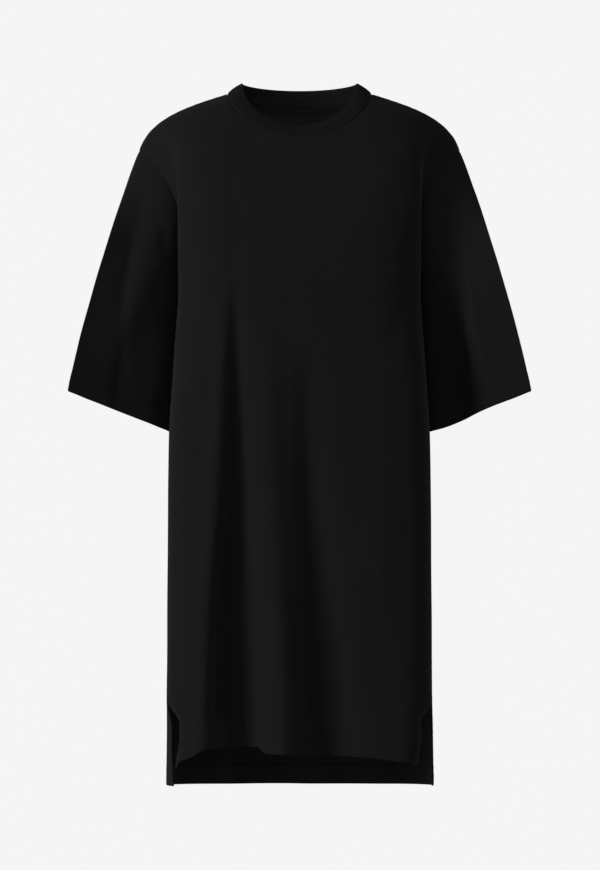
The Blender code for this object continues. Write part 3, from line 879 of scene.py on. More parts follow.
@dataclass(frozen=True)
class Hem:
    """A turned-up hem held by two rows of stitches."""

    first_row: float = 18.0
    second_row: float = 23.5
    raw_edge: float = 25.0
    fold_round: float = 1.3
    fold_sink: float = 0.55
    swell: float = 0.35
    dip: float = 0.28
    stitch_reach: float = 1.3
    pucker: float = 0.16
    pucker_length: float = 10.5
    second_layer: float = 1.05

    def rows(self) -> list[float]:
        """Distances from the edge at which the grid needs points."""
        fold = [0, 0.5, 1.3, 2.6, 4.5, 7, 10, 13, 15.5]
        return [*fold, 17, 18, 19, 20.7, 22.4, 23.5, 24.6, 25.6, 27.5]

    def fold(self, away: Array, sink: float) -> Array:
        """How far the folded edge rounds off. sink: its depth at the very edge."""
        rounding = np.clip(1 - away / self.fold_round, 0, 1)
        return -sink * (1 - np.sqrt(1 - rounding**2))

    def relief(self, away: Array, along: Array) -> Array:
        """How the hem moves the cloth's outer face.

        Args:
            away: Distance from the edge.
            along: Distance along it.

        Returns:
            The move along the normal.
        """
        fold = self.fold(away, self.fold_round * self.fold_sink)
        zone = ease(away / 3) * (1 - ease((away - self.second_row) / 5))
        stitched = (self.first_row, self.second_row)
        rows = sum(bell((away - row) / self.stitch_reach) for row in stitched)
        uneven = 0.55 + 0.45 * ripple(along, away, 55, 3.1)
        waves = np.sin(2 * math.pi * (along + 0.7 * away) / self.pucker_length) * uneven
        return fold + zone * self.swell - rows * self.dip + zone * waves * self.pucker

    def thickness(self, away: Array, single: float) -> Array:
        """Thickness of the wall: two layers up to the raw edge inside, then one."""
        return single * (1 + self.second_layer * (1 - ease((away - self.raw_edge) / 1.4)))


@dataclass(frozen=True)
class Seam:
    """A plain overlocked seam: the cloth dips into it and puckers a little beside it."""

    dip: float = 0.5
    reach: float = 1.7
    pucker: float = 0.10
    pucker_at: float = 3.5
    pucker_reach: float = 7.0
    pucker_length: float = 13.0

    def relief(self, away: Array, along: Array) -> Array:
        """How the seam moves the cloth: a groove, and faint puckers that run out of it.

        Args:
            away: Distance from the seam.
            along: Distance along it.

        Returns:
            The move along the normal.
        """
        uneven = 1.5 * ripple(along, away, 60, 7.7)
        waves = np.sin(2 * math.pi * along / self.pucker_length + uneven)
        near = bell((away - self.pucker_at) / self.pucker_reach)
        return -self.dip * bell(away / self.reach) + self.pucker * waves * near


@dataclass
class BodyPanel:
    """The front or the back of the body, cut in one from the shoulders to the hem."""

    side: Side
    form: BodyForm
    creases: tuple[Crease, ...] = ()
    hem: Hem = field(default_factory=Hem)
    seam: Seam = field(default_factory=Seam)
    wall: float = 1.0
    body_rows: int = 146
    neck_columns: int = 30
    column_step: float = 3.9
    row_step: float = 3.8
    yoke_depth: float = 118.0
    yoke_rise: float = 262.0
    slit_hem: float = 8.5
    slit_sink: float = 0.6
    slit_swell: float = 0.3
    slit_pitch: float = 9.5
    soft_wave: float = 0.3
    crease_margin: float = 14.0
    slit_margin: float = 6.0
    inside_height: float = -160.0
    across: Array = field(init=False)
    seam_row: int = field(init=False)
    underarm_row: int = field(init=False)
    cloth: Cloth = field(init=False)
    from_edge: Array = field(init=False)
    from_hem: Array = field(init=False)
    from_top: Array = field(init=False)

    def __post_init__(self) -> None:
        """Lays out the grid and shapes the cloth."""
        self.across = self.columns()
        lower = self.lower_rows()
        up = self.yoke_rows()
        skirt = self.form.skirt(self.side, self.across[None, :], lower)
        yoke = self.form.yoke(self.side, self.across, up)
        self.underarm_row = len(lower)
        points = np.concatenate([skirt, yoke])
        inside = points.copy()
        inside[..., :2] = np.array([0.0, self.form.side_axis_y])
        inside[..., 2] = np.minimum(points[..., 2], self.inside_height)
        self.cloth = Cloth(points, False, inside)
        self.shape_cloth()

    def columns(self) -> Array:
        """Where the grid's columns run, finer beside the side seams."""
        half = self.form.half_panel
        edge = [0, 0.6, 1.5, 3, 5, 7, 8.5, 10, 12.2]
        start, stop = edge[-1], half * (1 - self.form.neck_share)
        count = round((stop - start) / self.column_step)
        outer = np.concatenate([edge[:-1], np.linspace(start, stop, count + 1)])
        inner = np.linspace(self.form.neck_share, 0, self.neck_columns + 1)[1:]
        right = np.concatenate([1 - outer / half, inner])
        return np.concatenate([-right, right[:-1][::-1]])

    def lower_rows(self) -> Array:
        """Heights of the grid's points below the underarm."""
        hem = self.form.hem_height(self.side, self.across)
        near = np.array(self.hem.rows())
        above = hem + near[-1]
        gap = float(np.mean(self.form.slit_top - above))
        count = max(round(gap / self.row_step), 4)
        zone = [hem + away for away in near]
        zone += [mix(above, self.form.slit_top, k / count) for k in range(1, count)]
        self.seam_row = len(zone)
        steps = np.linspace(self.form.slit_top, self.form.underarm, self.body_rows + 1)[:-1]
        return np.array(zone + [np.full(len(self.across), height) for height in steps])

    def yoke_rows(self) -> Array:
        """Shares of the way up from the underarm, about evenly spaced along the cloth."""
        share = np.linspace(0, 1, 400)
        angle = share * QUARTER
        out, rise = self.yoke_depth * np.cos(angle), self.yoke_rise * np.sin(angle)
        length = np.concatenate([[0], np.cumsum(np.hypot(np.diff(out), np.diff(rise)))])
        near_top = [0, 0.8, 1.8, 3.2, 5, 7.2]
        count = round((length[-1] - near_top[-1]) / self.column_step)
        rest = np.linspace(near_top[-1], length[-1], count + 1)
        down = np.concatenate([near_top[:-1], rest])
        return np.interp(length[-1] - down[::-1], length, share)

    def shape_cloth(self) -> None:
        """Adds creases, seams, hems and the cloth's own softness."""
        points = self.cloth.points
        along, up = run_lengths(points, 1), run_lengths(points, 0)
        self.from_edge = np.minimum(along, along[:, -1:] - along)
        self.from_hem = up
        self.from_top = up[-1:] - up
        x, z = points[..., 0], points[..., 2]
        relief = sum(crease.relief(x, z) for crease in self.creases)
        relief += self.soft_wave * ripple(x, z, 90, 1.3 + self.side.value)
        free = ease(self.from_edge / self.crease_margin) * ease(self.from_top / self.crease_margin)
        beside_slit = ease(self.from_edge / self.slit_margin)
        relief *= np.where(z < self.form.slit_top, beside_slit, free)
        sewn = ease((z - self.form.slit_top + 3) / 8)
        relief += sewn * self.seam.relief(self.from_edge, z)
        shoulder = np.abs(self.across)[None, :] >= self.form.neck_share - EDGE_SLACK
        relief += np.where(shoulder, 1.0, 0.8) * self.seam.relief(self.from_top, x)
        relief += self.hem.relief(self.from_hem, x) * ease(self.from_edge / 4)
        relief += (1 - sewn) * self.slit_relief(self.from_edge, z)
        self.cloth.displace(relief)

    def slit_relief(self, away: Array, along: Array) -> Array:
        """A slit's narrow turned edge, held by one row of stitches.

        Args:
            away: Distance from the edge.
            along: Distance along it.

        Returns:
            The move along the normal.
        """
        zone = ease(away / 3) * (1 - ease((away - self.slit_hem) / 4))
        waves = np.sin(2 * math.pi * along / self.slit_pitch) * 0.1 * zone
        row = bell((away - self.slit_hem) / 1.5)
        return self.hem.fold(away, self.slit_sink) + self.slit_swell * (zone - row) + waves

    def thickness(self) -> Array:
        """Wall thickness of each point, double at the hem and at the slits' edges."""
        hem = self.hem.thickness(self.from_hem, self.wall)
        z = self.cloth.points[..., 2]
        slit = ease((self.form.slit_top - z) / 4) * (1 - ease((self.from_edge - 10) / 1.6))
        return np.maximum(hem, self.wall * (1 + slit))

    def build(self, name: str, material: bpy.types.Material) -> bpy.types.Object:
        """Makes the panel's object.

        Args:
            name: The piece's name.
            material: Its finish.

        Returns:
            The new object.
        """
        parts = MeshParts()
        up = run_lengths(self.cloth.points, 0)[:, len(self.across) // 2]
        grid_wall(parts, self.cloth, self.thickness(), self.across * self.form.half_panel, up)
        return parts.to_object(name, material)

    def border(self) -> tuple[Array, Array]:
        """Row and column indices of the side edges above the slits and of the top edge."""
        rows, columns = self.cloth.points.shape[:2]
        up = np.arange(self.seam_row, rows)
        row = np.concatenate([up, up, np.full(columns, rows - 1)])
        ends = [np.full(len(up), column) for column in (0, columns - 1)]
        return row, np.concatenate([*ends, np.arange(columns)])


def meet_panels(front: BodyPanel, back: BodyPanel) -> None:
    """Brings the side and shoulder seams of the two panels exactly together.

    Args:
        front: The front panel.
        back: The back panel, with as many columns.
    """
    sides = [slice(panel.seam_row, panel.underarm_row + 1) for panel in (front, back)]
    shoulder = np.abs(front.across) >= front.form.neck_share - EDGE_SLACK
    a, b = front.cloth, back.cloth
    for rows, columns in ((sides, 0), (sides, -1), ((-1, -1), shoulder)):
        here, there = (rows[0], columns), (rows[1], columns)
        a.points[here] = b.points[there] = (a.points[here] + b.points[there]) / 2
    a.refresh()
    b.refresh()


@dataclass
class Sleeve:
    """A drop-shoulder sleeve from its armhole to its hemmed cuff."""

    hand: Hand
    form: BodyForm
    folds: tuple[SleeveFold, ...]
    front_creases: tuple[Crease, ...] = ()
    back_creases: tuple[Crease, ...] = ()
    hem: Hem = field(default_factory=Hem)
    seam: Seam = field(default_factory=Seam)
    wall: float = 1.0
    rows: int = 84
    soft_wave: float = 0.35
    outer_pull: tuple[float, float, float] = (39.0, -70.0, -101.0)
    inner_pull: tuple[float, float, float] = (1.0, 0.0, -62.0)
    hem_outer_pull: tuple[float, float, float] = (16.6, -3.0, -90.0)
    hem_inner_pull: tuple[float, float, float] = (3.0, 0.0, -66.0)
    hem_outer_end: tuple[float, float] = (316.5, -406.5)
    hem_inner_end: tuple[float, float] = (171.5, -463.5)
    hem_slope: float = 0.393
    hem_centre_y: float = -21.0
    hem_half_depth: float = 33.0
    hem_turn: float = 23.0
    hem_power: float = 3.5
    around: float = 370.0
    meet_reach: float = 6.0
    underseam_dip: float = 0.8
    underseam_reach: float = 2.6
    clearance: float = 0.8
    cling: float = 14.0
    cling_behind: float = 3.0
    cling_round: float = 12.0
    cling_down: float = 10.0
    press_from: float = 0.66
    press_slope: float = 0.34
    press_blend: float = 0.12
    press_start: float = 12.0
    press_down: float = 140.0
    press_end: float = 0.007
    cloth: Cloth = field(init=False)
    from_hem: Array = field(init=False)

    def hem_ring(self, angle: Array) -> Array:
        """The sleeve's lower edge.

        Args:
            angle: 0 at the inner end, half a turn at the outer end.

        Returns:
            Its points.
        """
        inner, outer = np.array(self.hem_inner_end), np.array(self.hem_outer_end)
        half = float(np.linalg.norm(outer - inner)) / 2
        along = (outer - inner) / (2 * half)
        turn, deep = math.radians(self.hem_turn), self.hem_half_depth
        cosine, sine = (
            np.sign(wave) * np.abs(wave) ** (2 / self.hem_power)
            for wave in (np.cos(angle), np.sin(angle))
        )
        reach = -half * cosine * math.cos(turn) - deep * sine * math.sin(turn)
        dual = self.hem_power / (self.hem_power - 1)
        widest = (half * math.cos(turn)) ** dual + (deep * math.sin(turn)) ** dual
        reach *= half / widest ** (1 / dual)
        depth = half * cosine * math.sin(turn) - deep * sine * math.cos(turn)
        flat = (inner + outer) / 2 + along * reach[:, None]
        return np.stack([self.hand.value * flat[:, 0], self.hem_centre_y + depth, flat[:, 1]], -1)

    def ring(self, front: Array, back: Array) -> Array:
        """The armhole's points from the underarm over the front, the shoulder tip and the back."""
        column = 0 if self.hand is Hand.RIGHT else -1
        return np.concatenate([front[:-1, column], back[:0:-1, column]])

    def shape(self, base: tuple[Array, Array], sewn: tuple[Array, Array]) -> None:
        """Shapes the sleeve.

        Args:
            base: Yoke grids of front and back as they were before their seams were shaped.
            sewn: The same grids as they are now, which the sleeve is sewn to.
        """
        start, edge = self.ring(*base), self.ring(*sewn)
        angle = 2 * math.pi * np.arange(len(start)) / len(start)
        outer = ((1 - np.cos(angle)) / 2)[:, None]
        pull = mix(np.array(self.inner_pull), np.array(self.outer_pull), outer)
        pull[:, 1] *= outer[:, 0]
        rest = mix(np.array(self.hem_inner_pull), np.array(self.hem_outer_pull), outer)
        mirror = np.array([self.hand.value, 1.0, 1.0])
        end = self.hem_ring(angle)
        near = np.array(self.hem.rows()[::-1])
        reach = 3 * np.linalg.norm(rest, axis=1)
        down = [mix(0.0, 1 - near[0] / reach, k / self.rows) for k in range(self.rows)]
        down = np.array(down + [1 - away / reach for away in near])
        points = bezier((start, start + pull * mirror, end - rest * mirror, end), down)
        inside = np.broadcast_to(points.mean(axis=1, keepdims=True), points.shape)
        self.cloth = Cloth(points, True, inside)
        along = run_lengths(points, 0)
        self.from_hem = along[-1:] - along
        arc = (angle / (2 * math.pi) * self.around)[None, :]
        relief = self.fold_relief(down, np.degrees(angle))
        relief += self.soft_wave * ripple(points[..., 0], points[..., 2], 70, 4.4 + self.hand.value)
        relief += self.crease_relief(points, np.sin(angle)) * ease(along / 9)
        relief *= ease(along / 16)
        relief += self.hem.relief(self.from_hem, arc) + self.seam.relief(along, arc)
        relief -= self.underseam(angle, along)
        self.cloth.displace(relief)
        shift = (edge - self.cloth.points[0])[None] * bell(along / self.meet_reach)[..., None]
        self.cloth.points = self.cloth.points + shift
        self.press_edge(along)
        self.cloth.points[1:] = self.clear_of_body(self.cloth.points[1:])
        self.cloth.points[0] = edge
        self.cloth.refresh()

    def underseam(self, angle: Array, along: Array) -> Array:
        """The groove of the seam that closes the sleeve along its inner side."""
        away = np.minimum(angle, 2 * math.pi - angle) * self.around / (2 * math.pi)
        return self.underseam_dip * bell(away / self.underseam_reach)[None, :] * ease(along / 6)

    def press_edge(self, along: Array) -> None:
        """Lays the outer part of the sleeve's front flat and turns it in, up to a narrow edge.

        It starts press_from of the way out across the sleeve, over press_blend to each side, and
        grows in over press_down below the armhole. The last press_end at the edge stays round.

        Args:
            along: Distance of each point from the armhole.
        """
        for row, run in zip(self.cloth.points, along):
            x = np.abs(row[:, 0])
            front = slice(1, int(x.argmax()))
            low, high = float(x.min()), float(x.max())
            share, y = (x[front] - low) / (high - low), row[front, 1]
            beyond = share - self.press_from
            flat = np.interp(self.press_from, share, y)
            target = flat - self.press_slope * (np.maximum(beyond, 0) * (high - low))
            near = ease((beyond + self.press_blend) / (2 * self.press_blend))
            near *= ease((run[front] - self.press_start) / self.press_down)
            near *= 1 - ease((share - 1 + self.press_end) / self.press_end)
            row[front, 1] = mix(y, target, near)

    def crease_relief(self, points: Array, ahead: Array) -> Array:
        """How far the creases move the sleeve's cloth out.

        Args:
            points: The sleeve's grid.
            ahead: 1 in the middle of the front, -1 in the middle of the back, for each column.

        Returns:
            The move along the normal.
        """
        relief = np.zeros(points.shape[:2])
        for creases, way in ((self.front_creases, 1), (self.back_creases, -1)):
            face = ease(0.5 + 2.2 * way * ahead)
            for crease in creases:
                relief += face * crease.relief(points[..., 0], points[..., 2])
        return relief

    def fold_relief(self, down: Array, degrees: Array) -> Array:
        """How far the sleeve's folds move its cloth out.

        Args:
            down: Share of the way down the sleeve, for each point.
            degrees: Way round from the underarm over the front, for each column.

        Returns:
            The move along the normal.
        """
        relief = np.zeros(down.shape)
        for fold in self.folds:
            opened = ease((down - fold.start) / (1 - fold.start)) ** 0.6
            centre = mix(fold.at_top, fold.at_hem, down)
            away = (degrees[None, :] - centre + 180) % 360 - 180
            relief += fold.relief * opened * bell(away / fold.width)
        return relief

    def clear_of_body(self, points: Array) -> Array:
        """Moves points that would lie in the body's side out of it.

        Args:
            points: The sleeve's points.

        Returns:
            The points, clear of the body. Behind the body's side they also cling to it.
        """
        x, y, z = points[..., 0], points[..., 1], points[..., 2]
        least = self.form.measure("half_width", z) + self.clearance
        high = np.stack([np.copysign(np.maximum(np.abs(x), least), x), y, z], -1)
        axis, underarm = self.form.side_axis_y, self.form.underarm
        edge_x, edge_y = self.form.section_point(np.arctan2(x, axis - y), z)
        needed = np.hypot(edge_x, edge_y - axis) + self.clearance
        reach = np.hypot(x, y - axis)
        gap = np.maximum(reach - needed, 0.0)
        cling = ease((y - axis - self.cling_behind) / self.cling_round)
        cling *= ease((underarm - z) / self.cling_down)
        grow = mix(np.maximum(reach, needed), needed + gap * ease(gap / self.cling), cling) / reach
        lift = self.hem_slope * np.maximum(needed - reach, 0.0)
        low = np.stack([x * grow, axis + (y - axis) * grow, z + lift], -1)
        return np.where((z > underarm)[..., None], high, low)

    def build(self, name: str, material: bpy.types.Material) -> bpy.types.Object:
        """Makes the sleeve's object.

        Args:
            name: The piece's name.
            material: Its finish.

        Returns:
            The new object.
        """
        parts = MeshParts()
        count = self.cloth.points.shape[1]
        along = np.arange(count) * self.around / count
        up = run_lengths(self.cloth.points, 0)[:, count // 2]
        grid_wall(parts, self.cloth, self.hem.thickness(self.from_hem, self.wall), along, -up)
        return parts.to_object(name, material)


# ---------------------------------------------------------------- neckband and tape


@dataclass
class Neckband:
    """The doubled rib neckband, with its ribs standing round it."""

    form: BodyForm
    ribs: int = 250
    steps_per_rib: int = 6
    wall: float = 2.4
    rib_height: float = 0.32
    rib_start: float = 0.15
    wobble: float = 0.25
    bulge: float = 1.5
    set_back: float = 0.45
    share_up: float = 0.96
    foot: float = 0.03
    foot_dip: float = 1.5
    foot_reach: float = 0.16
    top_half_width: float = 78.5
    top_y: float = 6.0
    top_height: float = 15.0

    def rings(self) -> tuple[Array, Array]:
        """Points of the band's seam and of its top edge, all round.

        Returns:
            Seam points and top points.
        """
        count = self.ribs * self.steps_per_rib // 2
        turn = mix(-QUARTER, QUARTER, np.arange(count) / count)
        seams, tops = [], []
        for side, turns in ((Side.FRONT, turn), (Side.BACK, -turn)):
            neck = self.form.necks[side]
            seam = self.form.neckline(side, turns)
            middle = self.form.neckline(side, np.array([0.0]))[0, 1]
            depth = (seam[:, 1] - self.form.shoulder_y) / (middle - self.form.shoulder_y)
            level = np.maximum(np.cos(turns), 0)
            across = self.top_half_width * np.sin(turns)
            height = self.top_height - neck.top_drop * level**neck.top_power
            seams.append(seam)
            tops.append(np.stack([across, mix(self.top_y, neck.top_y, depth), height], -1))
        return np.concatenate(seams), np.concatenate(tops)

    def profile(self) -> Array:
        """The band's section as rows of share up, distance out, rib strength and face."""
        up = np.linspace(0, 1, 12)
        out = self.bulge * np.sin(np.pi * np.clip(up * 0.82 + 0.1, 0, 1)) - self.set_back
        out = out - self.foot_dip * (1 - ease(up / self.foot_reach))

        def row(share: float, away: float, face: int) -> tuple[float, float, float, int]:
            """One row of the outer or the inner face."""
            strength = float(ease(share / self.rib_start))
            return share * self.share_up - self.foot, away, strength, face

        middle, half = out[-1] - self.wall / 2, self.wall / 2
        fold = [
            (0.93 + 0.07 * math.sin(t), middle + half * math.cos(t), 0.75, 1 if t < QUARTER else -1)
            for t in np.linspace(0.15, 0.85, 6) * math.pi
        ]
        outer = [row(share, away, 1) for share, away in zip(up, out)]
        back = zip(up[::-2], out[::-2] * 0.8)
        return np.array(outer + fold + [row(share, away - self.wall, -1) for share, away in back])

    def build(self, name: str, material: bpy.types.Material) -> bpy.types.Object:
        """Makes the neckband's object.

        Args:
            name: The piece's name.
            material: Its finish.

        Returns:
            The new object.
        """
        seam, top = self.rings()
        count = len(seam)
        rise = top - seam
        width = np.linalg.norm(rise, axis=1, keepdims=True)
        rise = rise / width
        along = np.roll(top, -1, axis=0) - np.roll(top, 1, axis=0)
        out = unit(np.cross(along, rise))
        out = out * np.sign((out * (seam - seam.mean(axis=0))).sum(axis=1, keepdims=True))
        phase = np.arange(count) / self.steps_per_rib
        ridge = np.abs(np.cos(math.pi * phase)) ** 0.8 - 0.5
        wobble = self.wobble * ripple(seam[:, 0], seam[:, 1], 60, 2.2)
        rows = []
        for up, off, strength, face in self.profile():
            lift = off + face * strength * self.rib_height * 2 * ridge + wobble * math.sin(up * 3)
            rows.append(seam + rise * width * up + out * lift[:, None])
        points = np.array(rows)
        flat, rounds = path_lengths(seam), path_lengths(points[:, 0])
        lengths = np.append(flat, flat[-1] + 2), np.append(rounds, rounds[-1] + self.wall)
        parts = MeshParts()
        margins = (0.005, 0.99, 0.005, 0.99)
        tube_skin(parts, points, count, lengths, margins, len(points) // 2 + 1)
        return face_out(parts.to_object(name, material))


def face_out(thing: bpy.types.Object) -> bpy.types.Object:
    """Turns a closed mesh's faces outwards if the volume they enclose comes out negative.

    Args:
        thing: The mesh's object.

    Returns:
        The same object.
    """
    mesh = thing.data
    mesh.calc_loop_triangles()
    corners = np.zeros(len(mesh.loop_triangles) * 3, np.int32)
    mesh.loop_triangles.foreach_get("vertices", corners)
    points = np.zeros(len(mesh.vertices) * 3)
    mesh.vertices.foreach_get("co", points)
    a, b, c = points.reshape(-1, 3)[corners.reshape(-1, 3)].transpose(1, 0, 2)
    if float((a * np.cross(b, c)).sum()) < 0:
        mesh.flip_normals()
    return thing


@dataclass
class NeckTape:
    """The woven tape that covers the neck seam inside the back."""

    panel: BodyPanel
    width: float = 7.5
    wall: float = 0.7
    edge_wall: float = 0.35
    edge_reach: float = 0.5
    wave: float = 0.22
    lift: float = 0.5
    start: float = 1.2
    reach: float = 0.80

    def build(self, name: str, material: bpy.types.Material) -> bpy.types.Object:
        """Makes the tape's object from the inner face of the back panel.

        Args:
            name: The piece's name.
            material: Its finish.

        Returns:
            The new object.
        """
        cloth, panel = self.panel.cloth, self.panel
        used = np.abs(panel.across) <= panel.form.neck_share * self.reach
        inner = cloth.points + cloth.inward * panel.thickness()[..., None]
        inner = inner[::-1][:, used]
        count = inner.shape[1]
        away = run_lengths(inner, 0)
        full = self.width
        downs = np.array([0.0, 0.15, *np.linspace(0.6, full - 0.6, 5), full - 0.15, full])
        lines = np.array(
            [
                [
                    [np.interp(self.start + down, away[:, i], inner[:, i, k]) for k in range(3)]
                    for i in range(count)
                ]
                for down in downs
            ]
        )
        ways = unit(cloth.inward[-3][used])[None]
        crown = np.minimum(np.minimum(downs, full - downs) / self.edge_reach, 1.0)[:, None, None]
        wave = (self.wave * np.sin(np.arange(count) * 1.7) * (downs[:, None] / full))[..., None]
        near = lines + ways * (self.lift + wave)
        far = near + ways * (self.wall * mix(self.edge_wall, 1.0, crown))
        ring = np.concatenate([near, far[::-1]])
        steps = len(ring)
        rounds = np.concatenate([downs, full + full - downs[::-1] + self.wall])
        lengths = path_lengths(near[0]), np.append(rounds, rounds[-1] + self.wall)
        parts = MeshParts()
        start = tube_skin(parts, ring, count - 1, lengths, (0.01, 0.98, 0.02, 0.9), steps)
        for column, turned in ((0, False), (count - 1, True)):
            for j in range(steps // 2 - 1):
                cap = (j, j + 1, steps - 2 - j, steps - 1 - j)
                cap = cap[::-1] if turned else cap
                parts.face(
                    tuple(start + row * count + column for row in cap),
                    [(0.01 + 0.01 * (n % 2), 0.95 + 0.04 * (n // 2)) for n in range(4)],
                    [(0.0, 0.0)] * 4,
                )
        return face_out(parts.to_object(name, material))


# ---------------------------------------------------------------- stitches


@dataclass
class Stitches:
    """Rows of separate lockstitches that lie on the cloth along a path.

    places run from -1 to 1 along one stitch, thick is its share of the radius at each of them and
    dip its height over the cloth there, in radii.
    """

    length: float = 2.5
    gap: float = 0.7
    radius: float = 0.24
    lift: float = 0.12
    lean: float = 0.16
    places: tuple[float, ...] = (-1.0, -0.72, 0.0, 0.72, 1.0)
    thick: tuple[float, ...] = (0.35, 0.85, 1.0, 0.85, 0.35)
    dip: tuple[float, ...] = (-1.3, -0.2, 0.25, -0.2, -1.3)
    sides: int = 6
    parts: MeshParts = field(default_factory=MeshParts)

    def sew(self, path: Array, normals: Array) -> None:
        """Lays stitches along a path on the cloth.

        Args:
            path: Points on the cloth.
            normals: Its outward directions there.
        """
        length = path_lengths(path)
        pitch = self.length + self.gap
        count = int((length[-1] - self.gap) // pitch)
        places, sides = np.array(self.places), self.sides
        turn = np.arange(sides) * 2 * math.pi / sides
        round_x, round_y = (
            (wave[None, :] * np.array(self.thick)[:, None] * self.radius)[..., None]
            for wave in (np.cos(turn), np.sin(turn))
        )
        for k in range(count):
            at = self.gap + k * pitch + (places + 1) / 2 * self.length
            middle, up = (
                np.stack([np.interp(at, length, line[:, axis]) for axis in range(3)], -1)
                for line in (path, normals)
            )
            up = unit(up)
            side = unit(np.cross(unit(np.gradient(middle, axis=0)), up))
            middle = middle + up * (self.lift + np.array(self.dip) * self.radius)[:, None]
            middle = middle + side * (self.lean * math.sin(k * 2.1) * places)[:, None]
            ring = middle[:, None] + side[:, None] * round_x + up[:, None] * round_y
            first = self.parts.add(ring)
            last = first + (len(places) - 1) * sides
            for a in range(first, last, sides):
                for i in range(sides):
                    m = (i + 1) % sides
                    self.parts.faces.append((a + i, a + m, a + sides + m, a + sides + i))
            self.parts.faces.append(tuple(first + i for i in reversed(range(sides))))
            self.parts.faces.append(tuple(last + i for i in range(sides)))

    def build(self, name: str, material: bpy.types.Material) -> bpy.types.Object:
        """Makes one object of all the stitches sewn so far.

        Args:
            name: The piece's name.
            material: Its finish.

        Returns:
            The new object.
        """
        return face_out(self.parts.to_object(name, material))


# ---------------------------------------------------------------- finishes


class Nodes:
    """A small helper that adds and links nodes in one tree."""

    def __init__(self, tree: bpy.types.NodeTree) -> None:
        """Keeps the tree."""
        self.tree = tree

    def add(
        self, kind: str, inputs: dict[str, object] | None = None, **settings: object
    ) -> bpy.types.Node:
        """Adds a node.

        Args:
            kind: Blender's name of its type.
            inputs: Values of its inputs by name.
            settings: Its properties.

        Returns:
            The new node.
        """
        node = self.tree.nodes.new(kind)
        for name, value in settings.items():
            setattr(node, name, value)
        return self.fill(node, inputs or {})

    def fill(self, node: bpy.types.Node, inputs: dict[str, object]) -> bpy.types.Node:
        """Sets the values of a node's inputs by name and returns the node."""
        for name, value in inputs.items():
            node.inputs[name].default_value = value
        return node

    def link(self, source: bpy.types.NodeSocket, target: bpy.types.NodeSocket) -> None:
        """Links two sockets."""
        self.tree.links.new(source, target)

    def split_by_camera(self, lit: bpy.types.Node, seen: bpy.types.Node, end: str) -> None:
        """Shows one shader to the camera and another to all other rays.

        Args:
            lit: The shader that all other rays meet.
            seen: The shader that the camera shows.
            end: Name of the tree's output node.
        """
        path = self.add("ShaderNodeLightPath")
        blend = self.add("ShaderNodeMixShader")
        self.link(path.outputs["Is Camera Ray"], blend.inputs[0])
        self.link(lit.outputs[0], blend.inputs[1])
        self.link(seen.outputs[0], blend.inputs[2])
        self.link(blend.outputs[0], self.tree.nodes[end].inputs["Surface"])

    def math(self, operation: str, *values: object) -> bpy.types.NodeSocket:
        """Adds a Math node.

        Args:
            operation: Blender's name of the operation.
            values: Sockets or numbers for its inputs.

        Returns:
            The result's socket.
        """
        node = self.add("ShaderNodeMath", operation=operation)
        for socket, value in zip(node.inputs, values):
            if isinstance(value, (int, float)):
                socket.default_value = value
            else:
                self.link(value, socket)
        return node.outputs[0]


def start_group(
    name: str, inputs: tuple[str, ...], outputs: tuple[str, ...]
) -> tuple[Nodes, bpy.types.Node, bpy.types.Node]:
    """Starts a node group.

    Args:
        name: The group's name.
        inputs: Names of its number inputs, which follow one named Vector.
        outputs: Names of its number outputs.

    Returns:
        Its helper, its input node and its output node.
    """
    tree = bpy.data.node_groups.new(name, "ShaderNodeTree")
    tree.interface.new_socket(name="Vector", in_out="INPUT", socket_type="NodeSocketVector")
    for way, titles in (("INPUT", inputs), ("OUTPUT", outputs)):
        for title in titles:
            tree.interface.new_socket(name=title, in_out=way, socket_type="NodeSocketFloat")
    nodes = Nodes(tree)
    return nodes, nodes.add("NodeGroupInput"), nodes.add("NodeGroupOutput")


def knit_group() -> bpy.types.NodeTree:
    """Builds the node group of a plain knit: columns of small V shaped loops.

    Returns:
        The group, with inputs Vector, Wale and Course and outputs Height and Tone. Tone is painted
        shade that darkens the hollows between the loops and lightens their crowns.
    """
    nodes, given, made = start_group("plain_knit_loops", ("Wale", "Course"), ("Height", "Tone"))
    split = nodes.add("ShaderNodeSeparateXYZ")
    nodes.link(given.outputs["Vector"], split.inputs[0])
    across = nodes.math("DIVIDE", split.outputs["X"], given.outputs["Wale"])
    along = nodes.math("DIVIDE", split.outputs["Y"], given.outputs["Course"])
    place = nodes.math("SUBTRACT", nodes.math("FRACT", across), 0.5)
    leg = nodes.math("ABSOLUTE", place)
    slanted = nodes.math("ADD", along, nodes.math("MULTIPLY", leg, 1.3))
    turn = nodes.math("MULTIPLY", nodes.math("FRACT", slanted), 2 * math.pi)
    loop = nodes.math("MULTIPLY_ADD", nodes.math("COSINE", turn), 0.35, 0.65)
    hump = nodes.math("SINE", nodes.math("MULTIPLY", leg, 2 * math.pi))
    height = nodes.math("MULTIPLY", loop, nodes.math("POWER", nodes.math("ABSOLUTE", hump), 0.6))
    nodes.link(height, made.inputs["Height"])
    # Tone is painted shade: darker in the hollows between the loops, lighter on their crowns.
    nodes.link(nodes.math("MULTIPLY_ADD", height, 0.5, 0.6), made.inputs["Tone"])
    return nodes.tree


